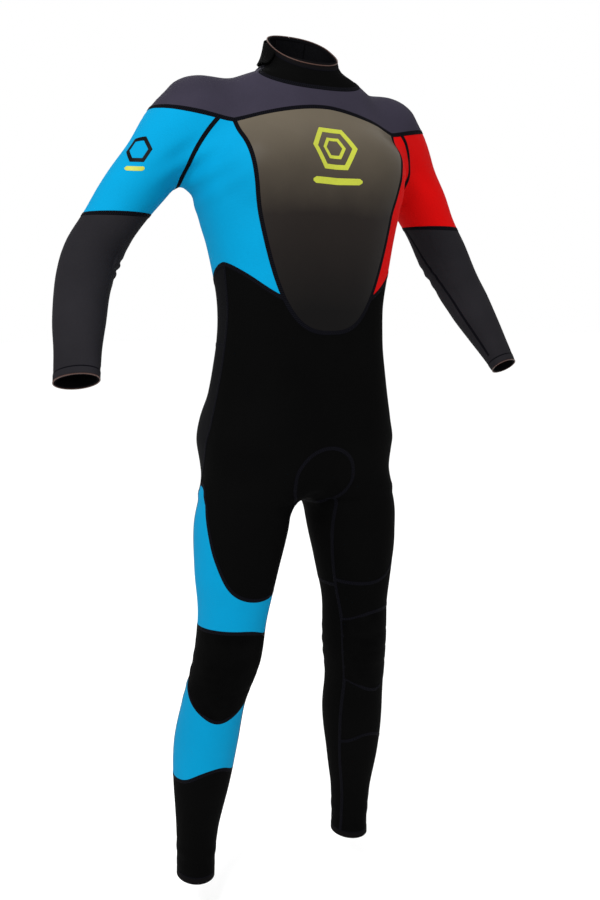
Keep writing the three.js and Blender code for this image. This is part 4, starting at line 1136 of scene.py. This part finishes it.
def smooth_skin(name):
    """Rubbery smooth skin with fine vertical ribs; it is painted lighter and browner towards the top as a
    reflection of the light above, with some random tone.
    """
    n = Nodes(name)
    height = n.node("SeparateXYZ", {"Vector": n.place}).outputs["Z"]
    # Painted reflection: a share that rises with height on the panel, as if lit from above.
    share = n.node("MapRange", {"Value": height, "From Min": -0.43, "From Max": -0.10})
    painted_reflection_and_tone = n.times_plus(n.noise(14.0), 0.12, share.outputs[0])
    # The near-black is the skin's own colour; the brown-grey towards the top is a painted reflection.
    tint = n.ramp(painted_reflection_and_tone, [(0.1, (9, 8, 8)), (0.55, (27, 23, 21)), (1.0, (80, 73, 62))])
    normal = n.bump(n.wave(110.0, "X", 0.2), 0.0002, 0.15)
    normal = n.bump(n.noise(480.0, 3.0), 0.0002, 0.4, normal)
    rough = n.times_plus(n.noise(40.0), 0.16, 0.36)
    return n.finish(tint, rough, normal, 0.06)


def knee_coating(name):
    """Abrasion-resistant print: a dense field of small raised dots on black."""
    n = Nodes(name)
    cells = n.node("TexVoronoi", {"Vector": n.place, "Scale": 330.0, "Randomness": 0.25})
    dots = n.ramp(cells.outputs["Distance"], [(0.2, (1, 1, 1, 1)), (0.5, (0, 0, 0, 1))])
    normal = n.bump(dots, 0.0003, 0.3)
    tint = n.ramp(n.noise(30.0), [(0.3, (3, 3, 3)), (0.7, (5, 5, 5))])
    return n.finish(tint, 0.75, normal, 0.01)


def seam_tape(name, colour, thread):
    """Glued and blind-stitched seam: a dark band with slanting stitches along it."""
    n = Nodes(name)
    uv = n.node("SeparateXYZ", {"Vector": n.coordinates("UV")})
    slant = n.times_plus(uv.outputs["Y"], 1.1, n.math("MULTIPLY", uv.outputs["X"], 3.1))
    stitch = n.math("SINE", n.math("MULTIPLY", slant, 2 * math.pi))
    across = n.math("ABSOLUTE", n.math("SUBTRACT", uv.outputs["Y"], 0.5))
    inside = n.math("LESS_THAN", across, 0.36)
    threads = n.math("MULTIPLY", n.math("GREATER_THAN", stitch, 0.35), inside)
    tint = n.ramp(threads, [(0.0, colour), (1.0, thread)])
    normal = n.bump(n.math("MULTIPLY", stitch, inside), 0.0004, 0.7)
    normal = n.bump(n.noise(700.0), 0.0002, 0.4, normal)
    return n.finish(tint, 0.75, normal, 0.02)


def grained(name, dark, light, roughness, grain, relief_of_grain, shares=(0.3, 0.7), specular=0.5):
    """A plain material with a fine grain that carries its colour change and its relief."""
    n = Nodes(name)
    fac = n.noise(*grain)
    return n.finish(n.ramp(fac, list(zip(shares, (dark, light)))), roughness,
                    n.bump(fac, *relief_of_grain), specular)


def hook_tape(name, scale, depth):
    n = Nodes(name)
    cells = n.node("TexVoronoi", {"Vector": n.place, "Scale": scale, "Randomness": 0.4})
    tint = n.ramp(cells.outputs["Distance"], [(0.1, (46, 46, 50)), (0.5, (12, 12, 14))])
    normal = n.bump(cells.outputs["Distance"], depth, -0.9)
    return n.finish(tint, 0.85, normal, Sheen_Weight=0.3)


def woven_tape(name):
    n = Nodes(name)
    weave = n.math("MULTIPLY", n.wave(320.0, "Z", 0.1), n.wave(320.0, "X", 0.1))
    tint = n.ramp(weave, [(0.2, (12, 12, 14)), (0.8, (34, 34, 38))])
    return n.finish(tint, 0.8, n.bump(weave, 0.0003, 0.8))


def slider_metal(name):
    n = Nodes(name)
    stretch = n.node("Mapping", {"Vector": n.place, "Scale": (900, 900, 90)})
    brushed = n.noise(1.0, place=stretch.outputs[0])
    tint = n.ramp(brushed, [(0.3, (120, 121, 124)), (0.7, (168, 169, 172))])
    return n.finish(tint, n.times_plus(brushed, 0.2, 0.24), n.bump(brushed, 0.0001, 0.3), Metallic=1.0)


def printed(name, colour, specular=0.3):
    return grained(name, linear(colour, 0.82), colour, 0.5, (500.0,), (0.00015, 0.5), (0.25, 0.75),
                   specular)


LOOKS = {
    "cyan_jersey": (jersey, (0, 122, 164), 0.06, 0.04),
    "red_jersey": (jersey, (176, 4, 4), 0.08, 0.04),
    "charcoal_jersey": (jersey, (42, 39, 50), 0.2, 0.04),
    "cuff_jersey": (jersey, (27, 26, 29), 0.25, 0.03),
    "dark_jersey": (jersey, (9, 9, 11), 0.2, 0.02),
    "black_jersey": (jersey, (5, 5, 5), 0.2, 0.01),
    "smooth_skin": (smooth_skin,),
    "knee_coating": (knee_coating,),
    "seam_tape": (seam_tape, (5, 5, 8), (12, 12, 17)),
    "bound_edge": (seam_tape, (9, 8, 9), (96, 64, 48)),
    "lining": (grained, (6, 6, 7), (13, 13, 15), 0.9, (600.0,), (0.0005, 0.6), (0.3, 0.7), 0.01),
    "hook_tape": (hook_tape, 620.0, 0.0006),
    "loop_tape": (hook_tape, 380.0, 0.0008),
    "zip_tape": (woven_tape,),
    "moulded_plastic": (grained, (20, 20, 23), (32, 32, 36), 0.42, (900.0, 2.0), (0.0001, 0.4)),
    "slider_metal": (slider_metal,),
    "emblem_print": (printed, (158, 164, 44)),
    "dark_print": (printed, (3, 3, 4), 0.05),
    "edge_thread": (printed, (70, 46, 38)),
}
MATERIALS = {name: make(name.replace("_", " "), *values) for name, (make, *values) in LOOKS.items()}


# ---- camera, light and floor

# The camera's place in metres, its turn and tilt in degrees, and its focal length over its sensor.
VIEW = {"from": (-0.790, -1.452, -0.408), "turn": 28.4, "down": 8.3, "focal": 1.0889}
# Each light: its place, what it points at, its size in metres and its power.
LIGHTS = [
    ("key", (-1.5, -1.4, 1.1), (0, 0, -0.3), 1.0, 62),
    ("back", (0.6, 2.6, 1.6), (0, 0, -0.6), 2.0, 20),
]


def make_camera():
    data = bpy.data.cameras.new("camera")
    data.lens = data.sensor_width * VIEW["focal"]
    camera = placed("camera", data)
    turn, down = math.radians(VIEW["turn"]), math.radians(VIEW["down"])
    forward = Vector((math.sin(turn) * math.cos(down), math.cos(turn) * math.cos(down), -math.sin(down)))
    camera.location = VIEW["from"]
    camera.rotation_euler = forward.to_track_quat("-Z", "Y").to_euler()
    bpy.context.scene.camera = camera


def make_light(name, place, target, size, power):
    data = bpy.data.lights.new(name, "AREA")
    data.shape = "DISK"
    data.size = size
    data.energy = power
    lamp = placed(name, data)
    lamp.location = place
    lamp.rotation_euler = (Vector(target) - Vector(place)).to_track_quat("-Z", "Y").to_euler()


def make_stage():
    floor_height = -NECK_OPENING[2] / 1000
    mesh = bpy.data.meshes.new("floor")
    reach = 30
    corners = [(-reach, -reach), (reach, -reach), (reach, reach), (-reach, reach)]
    mesh.from_pydata([(x, y, floor_height) for x, y in corners], [], [(0, 1, 2, 3)])
    n = Nodes("floor")
    tint = n.ramp(n.noise(0.6), [(0.3, (0.86, 0.86, 0.86, 1)), (0.7, (0.9, 0.9, 0.9, 1))])
    paint = n.finish(tint, 0.9, None, Emission_Color=(1, 1, 1, 1), Emission_Strength=0.14)
    mesh.materials.append(paint)
    placed("floor", mesh)
    world = bpy.data.worlds.new("studio")
    world.use_nodes = True
    background = world.node_tree.nodes["Background"]
    background.inputs["Color"].default_value = (1, 1, 1, 1)
    background.inputs["Strength"].default_value = 1.0
    bpy.context.scene.world = world
    for name, place, target, size, power in LIGHTS:
        make_light(name, place, target, size, power)
    bpy.context.scene.view_settings.view_transform = "Standard"


# ---- panels and seams on the suit


def has_any(name, words):
    return any(word in name for word in words)


def side_in(name):
    return ("right", -1) if "right" in name else ("left", 1)


def across_joint(piece, name):
    """Rides on the suit; a piece on an arm or a leg is only baked in place and is attached to no body."""
    if has_any(name, ("sleeve", "forearm", "wrist", "arm_seams")):
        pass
    elif has_any(name, ("shin", "leg", "knee", "ankle", "thigh_panel")):
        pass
    else:
        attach(piece, "suit")
        return
    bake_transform(piece)


def slot_of(name):
    if name in ("upper_sleeve_right", "side_panel_right", "thigh_panel_right", "shin_right"):
        return "cyan_jersey"
    if name in ("upper_sleeve_left", "side_panel_left"):
        return "red_jersey"
    if "knee_pad" in name:
        return "knee_coating"
    if has_any(name, ("hem", "binding")):
        return "bound_edge"
    if name == "chest_panel":
        return "smooth_skin"
    charcoal = ("shoulder_yoke", "seat_panel", "crotch_gusset", "back_panel", "inner_thigh",
                "leg_back", "forearm")
    if name.startswith(charcoal) or name == "collar":
        return "charcoal_jersey"
    return "black_jersey"


def look_of(name):
    if name.startswith(("forearm", "wrist_hem")):
        return MATERIALS["cuff_jersey"]
    if name.startswith(("seat_panel", "back_panel")):
        return MATERIALS["dark_jersey"]
    if name.startswith(("inner_thigh", "crotch", "leg_back")) or name == "collar":
        return MATERIALS["black_jersey"]
    return MATERIALS[slot_of(name)]


def nodes_for(name):
    base, _, side = name.rpartition("_")
    if base in MERGED:
        return [f"{part}_{side}" for part in MERGED[base]]
    return [name]


def make_panels(cutting):
    points = cutting.points
    normals = outward(points)
    for i, facing in cutting.open.items():
        normals[i] -= facing * (normals[i] @ facing)
    normals = unit(normals)
    rise = relief(points)
    names = panel_names(cutting.middles())
    panels = {}
    for f, name in enumerate(names):
        if name:
            panels.setdefault(name, []).append(cutting.corners(f))
    for name, faces in sorted(panels.items()):
        edging = HEM if "hem" in name else BINDING if "binding" in name else PLAIN_EDGE
        padded = name.startswith("knee_pad")
        local = rise + knee_crown(points) if padded else rise
        piece = panel_mesh(name + "_cloth", faces, points, normals, local,
                           [look_of(name), MATERIALS["lining"]], edging["raise"], edging["thickness"])
        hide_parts(*nodes_for(name))
        across_joint(piece, name)
    return names


def knee_crown(points):
    """The knee pad's extra thickness, with three soft flex channels across it."""
    z = points[:, 2]
    angle = np.abs(Spots(points).angle - 8)
    crown = np.clip(1 - (angle / 72) ** 4, 0, 1) * np.clip(1 - ((z - 500) / 78) ** 6, 0, 1)
    channels = sum(bump_at(z - height, 3.2) for height in (466, 500, 534))
    return crown * (1.5 - 1.0 * channels)


def limb_of(text):
    """The piece that a seam band between two panels belongs to."""
    side, _ = side_in(text)
    if has_any(text, ("sleeve", "forearm", "wrist")):
        return "arm_seams_" + side
    if has_any(text, ("thigh", "knee", "shin", "leg", "ankle")):
        return "leg_seams_" + side
    return "body_seams"


def make_seams(cutting, names):
    """Dark bands along every seam between two panels, one piece for each limb and the body."""
    owners = {}
    for f, name in enumerate(names):
        for a, b in sides_of(cutting.corners(f)):
            owners.setdefault(low_first(a, b), []).append(name)
    groups = {}
    for edge, beside in owners.items():
        if len(beside) == 1 or (beside[0] != beside[1] and all(beside)):
            groups.setdefault(tuple(sorted(beside)), []).append(edge)
    gathered = {}

    def add_lines(ribbons, edges, shortest, half_width, smoothing=6, lift=0.0):
        for chain in chains_of(edges):
            line = cutting.points[chain]
            if lengths_along(line)[-1] > shortest:
                ribbons.add(evened(line, smoothing), half_width, lift)
    for beside, edges in sorted(groups.items()):
        if len(beside) == 2:
            bound = has_any(" ".join(beside), ("hem", "binding"))
            ribbons = gathered.setdefault(limb_of(" ".join(beside)), Ribbons())
            add_lines(ribbons, edges, 9, BOUND_SEAM_HALF_WIDTH if bound else SEAM_HALF_WIDTH)
    for name, limb in EDGE_THREADS:
        thread = Ribbons()
        add_lines(thread, groups[(name,)], 40, 0.8, 2, 0.7)
        piece = thread.piece("edge_thread_" + limb, MATERIALS["edge_thread"])
        across_joint(piece, limb)
    for sign, side in ((-1, "right"), (1, "left")):
        line = smooth_curve(np.c_[np.arange(4), np.array(FOREARM_SEAM, float) * [sign, 1, 1]])
        spots = settle(line(np.linspace(0, 2.97, 50)), 4)
        gathered["arm_seams_" + side].add(evened(spots), SEAM_HALF_WIDTH * 0.7)
    for limb, ribbons in gathered.items():
        piece = ribbons.piece(limb, MATERIALS["seam_tape"])
        across_joint(piece, limb)


# ---- emblem

def shell(name, outer, inner, faces, material):
    """A closed piece between two layers of points that share their faces."""
    count = len(outer)
    polygons = faces + [[i + count for i in reversed(f)] for f in faces]
    for a, b in boundary_of(faces):
        polygons.append([b, a, a + count, b + count])
    return make_mesh(name, np.vstack([outer, inner]), polygons, [material])


PRINT = {"rise": 0.35, "root": 0.6}


def decal(name, centre, shape, material):
    """A thin printed shape: spots are across and up from the centre, laid onto the form."""
    spots, faces = shape
    centre = settle(np.array([centre], float), 4)[0]
    out = unit(outward(centre[None]))[0]
    across = unit(np.cross([0, 0, 1], out))
    flat = centre + spots[:, :1] * across + spots[:, 1:] * np.cross(out, across)
    laid = settle(flat, 3)
    way = unit(outward(laid))
    stand = relief(laid)[:, None]
    top, root = laid + way * (stand + PRINT["rise"]), laid + way * (stand - PRINT["root"])
    piece = shell(name, top, root, faces, material)
    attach(piece, "suit")


def grid_faces(rows, columns, loop=False):
    faces = []
    for low in range(0, (rows - 1) * columns, columns):
        for c in range(columns if loop else columns - 1):
            d = (c + 1) % columns
            faces.append([low + c, low + d, low + columns + d, low + columns + c])
    return faces


def hexagon_ring(radius, width, per_side=8, rings=4):
    """Spots and faces of a hexagon's outline, points left and right."""
    turn = np.radians(60 * np.arange(7))
    corners = np.stack([np.cos(turn), np.sin(turn)], 1)
    outline = np.array([a + (b - a) * i / per_side for a, b in zip(corners, corners[1:])
                        for i in range(per_side)])
    spots = np.vstack([outline * (radius - width * r / (rings - 1)) for r in range(rings)])
    return spots, [f[::-1] for f in grid_faces(rings, len(outline), True)]


def bar(length, tall, lift, columns=22, rows=4):
    """Spots and faces of a plain bar with round ends, below the hexagon."""
    spots = []
    for r in range(rows):
        v = -1 + 2 * r / (rows - 1)
        reach = length / 2 - tall / 2 * (1 - math.sqrt(max(1 - v * v, 0)))
        for c in range(columns):
            spots.append((-reach + 2 * reach * c / (columns - 1), lift + v * tall / 2))
    return np.array(spots), grid_faces(rows, columns)


def make_emblems():
    chest, sleeve = (1, -112, 1359), (-278, 1, 1352)
    mark = MATERIALS["emblem_print"]
    decal("chest_hexagon", chest, hexagon_ring(40, 9), mark)
    decal("chest_hexagon_core", chest, hexagon_ring(20, 6), mark)
    decal("chest_bar", (4, -112, 1359), bar(88, 11, -54), mark)
    decal("sleeve_hexagon", sleeve, hexagon_ring(23, 7), MATERIALS["dark_print"])
    decal("sleeve_bar", (-280, 1, 1352), bar(34, 7, -30), mark)


# ---- back zip

def on_back(x, z):
    """The form's surface on the wearer's back."""
    inside, outside = np.full(len(x), 20.0), np.full(len(x), 150.0)
    for _ in range(24):
        y = (inside + outside) / 2
        within = form_distance(np.stack([x, y, z], 1)) < 0
        inside = np.where(within, y, inside)
        outside = np.where(within, outside, y)
    return np.stack([x, inside, z], 1)


def back_strip(name, left, right, sizes, columns, material):
    """A strip that lies below the form's surface on the back, with its depths in its sizes."""
    rows = 90
    heights = np.linspace(ZIP["bottom"] - sizes["foot"], sizes["top"], rows)
    x, z = np.meshgrid(np.linspace(left, right, columns), heights)
    p = on_back(x.ravel(), z.ravel())
    way = unit(outward(p) * [1, 1, 0])
    return shell(name, p - way * sizes["outer"], p - way * sizes["inner"], grid_faces(rows, columns),
                 material)


ZIP_FOOT = on_back(np.array([0.0]), np.array([float(ZIP["bottom"])]))[0]
ZIP_HEAD = on_back(np.array([0.0]), np.array([float(ZIP["top"])]))[0]
ZIP_LEAN = math.atan2(ZIP_HEAD[1] - ZIP_FOOT[1], ZIP["top"] - ZIP["bottom"])


def on_zip(points):
    """Points given across, up the zip and out of the back, placed on the zip's straight line."""
    p = np.asarray(points, float)
    c, s = math.cos(ZIP_LEAN), math.sin(ZIP_LEAN)
    x, up, out = p.T
    return np.stack([x, out * c + up * s, up * c - out * s], 1) + ZIP_FOOT


TOOTH = {"pitch": 2.6, "tall": 1.5, "root": 3.4, "tip": -0.5, "inner": 1.2, "outer": 3.2}


def make_zip():
    for side, word in ((-1, "right"), (1, "left")):
        near, far = sorted((side * ZIP_TAPE["gap"], side * (ZIP["slot"] - ZIP_TAPE["margin"])))
        tape = back_strip("zip_tape_cloth_" + word, near, far, ZIP_TAPE, 8, MATERIALS["zip_tape"])
        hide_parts("zip_tape_" + word)
        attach(tape, "suit")
        chain = make_teeth(side, word)
        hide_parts("zip_teeth_" + word)
        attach(chain, "suit")
    flap = back_strip("zip_flap_cloth", -ZIP_FLAP["half_width"], ZIP_FLAP["half_width"], ZIP_FLAP, 10,
                      MATERIALS["lining"])
    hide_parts("zip_inner_flap")
    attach(flap, "suit")
    for node in ("zip_slider", "zip_top_stop", "zip_bottom_stop"):
        dress(node, MATERIALS["slider_metal"])
    dress("zip_pull", MATERIALS["moulded_plastic"])


def dress(node, material):
    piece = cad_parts[node]
    piece.data.materials.clear()
    piece.data.materials.append(material)


def make_teeth(side, word):
    """One half of the chain: a slim cord along the tape's edge with a moulded tooth each pitch."""
    points, faces = [], []

    def block(tip, low, high, inner, outer, slim):
        x0, x1 = sorted((side * tip, side * TOOTH["root"]))
        base = len(points)
        for out, less in ((inner, 0), (outer, slim)):
            for x, up in ((x0, low + less), (x1, low + less), (x1, high - less), (x0, high - less)):
                points.append((x, up, out))
        corners = [[0, 3, 2, 1], [4, 5, 6, 7], [0, 1, 5, 4], [1, 2, 6, 5], [2, 3, 7, 6], [3, 0, 4, 7]]
        faces.extend([[base + i for i in face] for face in corners])
    length = ZIP["top"] - ZIP["bottom"]
    start = TOOTH["pitch"] * (0.25 if side < 0 else 0.75)
    for n in range(int((length - start) / TOOTH["pitch"])):
        low = start + n * TOOTH["pitch"]
        block(TOOTH["tip"], low, low + TOOTH["tall"], TOOTH["inner"], TOOTH["outer"], 0.25)
    block(1.9, 0, length, TOOTH["inner"] + 0.1, TOOTH["outer"] - 0.7, 0.2)
    return make_mesh("zip_chain_" + word, on_zip(points), faces, [MATERIALS["moulded_plastic"]], sharp=30)


# ---- collar closure

def collar_places(bearing, share):
    """Places on the outside of the collar: bearings in degrees seen from above, 0 in front."""
    angle = np.radians(bearing - 90)
    c, s = np.cos(angle), np.sin(angle)
    y = NECK_SEAM["y"] + 66 * s
    foot = np.stack([NECK_SEAM["half_width"] * c, y, neck_seam_height(y)], 1)
    return settle(foot + (rim_place(c, s) - foot) * share[:, None], 3)


def collar_wrap(name, bearings, shares, inner, outer, material):
    """A strip round the collar with rounded corners."""
    columns, rows, corner = 60, 14, 0.12
    u, v = np.meshgrid(np.linspace(0, 1, columns), np.linspace(0, 1, rows))
    to_end, to_side = np.minimum(u, 1 - u).ravel(), np.minimum(v, 1 - v).ravel()
    pull = np.sqrt(np.clip(1 - (1 - np.clip(to_end / corner * 2, 0, 1)) ** 2, 0, 1))
    height = 0.5 + (v.ravel() - 0.5) * (1 - 0.22 * (1 - pull))
    share = shares[0] + (shares[1] - shares[0]) * height
    bearing = bearings[0] + (bearings[1] - bearings[0]) * u.ravel()
    p = collar_places(bearing, share)
    way = unit(outward(p))
    rim = np.minimum(to_end * columns / 2, to_side * rows / 2)
    soft = 0.45 * np.clip(1 - rim, 0, 1)
    return shell(name, p + way * (outer - soft)[:, None], p + way * (inner + soft * 0.3)[:, None],
                 grid_faces(rows, columns), material)


def make_collar_closure():
    pieces = [
        ("collar_loop_patch", (208, 264), (0.24, 0.78), 0.9, 1.7, "loop_tape", "suit"),
        ("collar_hook_patch", (216, 280), (0.28, 0.74), 2.1, 2.9, "hook_tape", "collar_flap"),
        ("collar_flap", (168, 288), (0.14, 0.92), 3.3, 5.6, "black_jersey", "collar_flap"),
    ]
    for node, bearings, shares, inner, outer, slot, body in pieces:
        piece = collar_wrap(node + "_cloth", bearings, shares, inner, outer, MATERIALS[slot])
        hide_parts(node)
        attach(piece, body)


# ---- assembly

make_camera()
make_stage()
skin = Skin()
skin.build()
skin.relax(30)
for level in range(SUBDIVISIONS):
    skin.subdivide()
    skin.relax(2, 0.4)
cutting = Cutting(skin)
for seam_side, seam_where in SEAMS:
    cutting.cut(seam_side, seam_where)
panel_of_face = make_panels(cutting)
make_seams(cutting, panel_of_face)
make_emblems()
make_zip()
make_collar_closure()
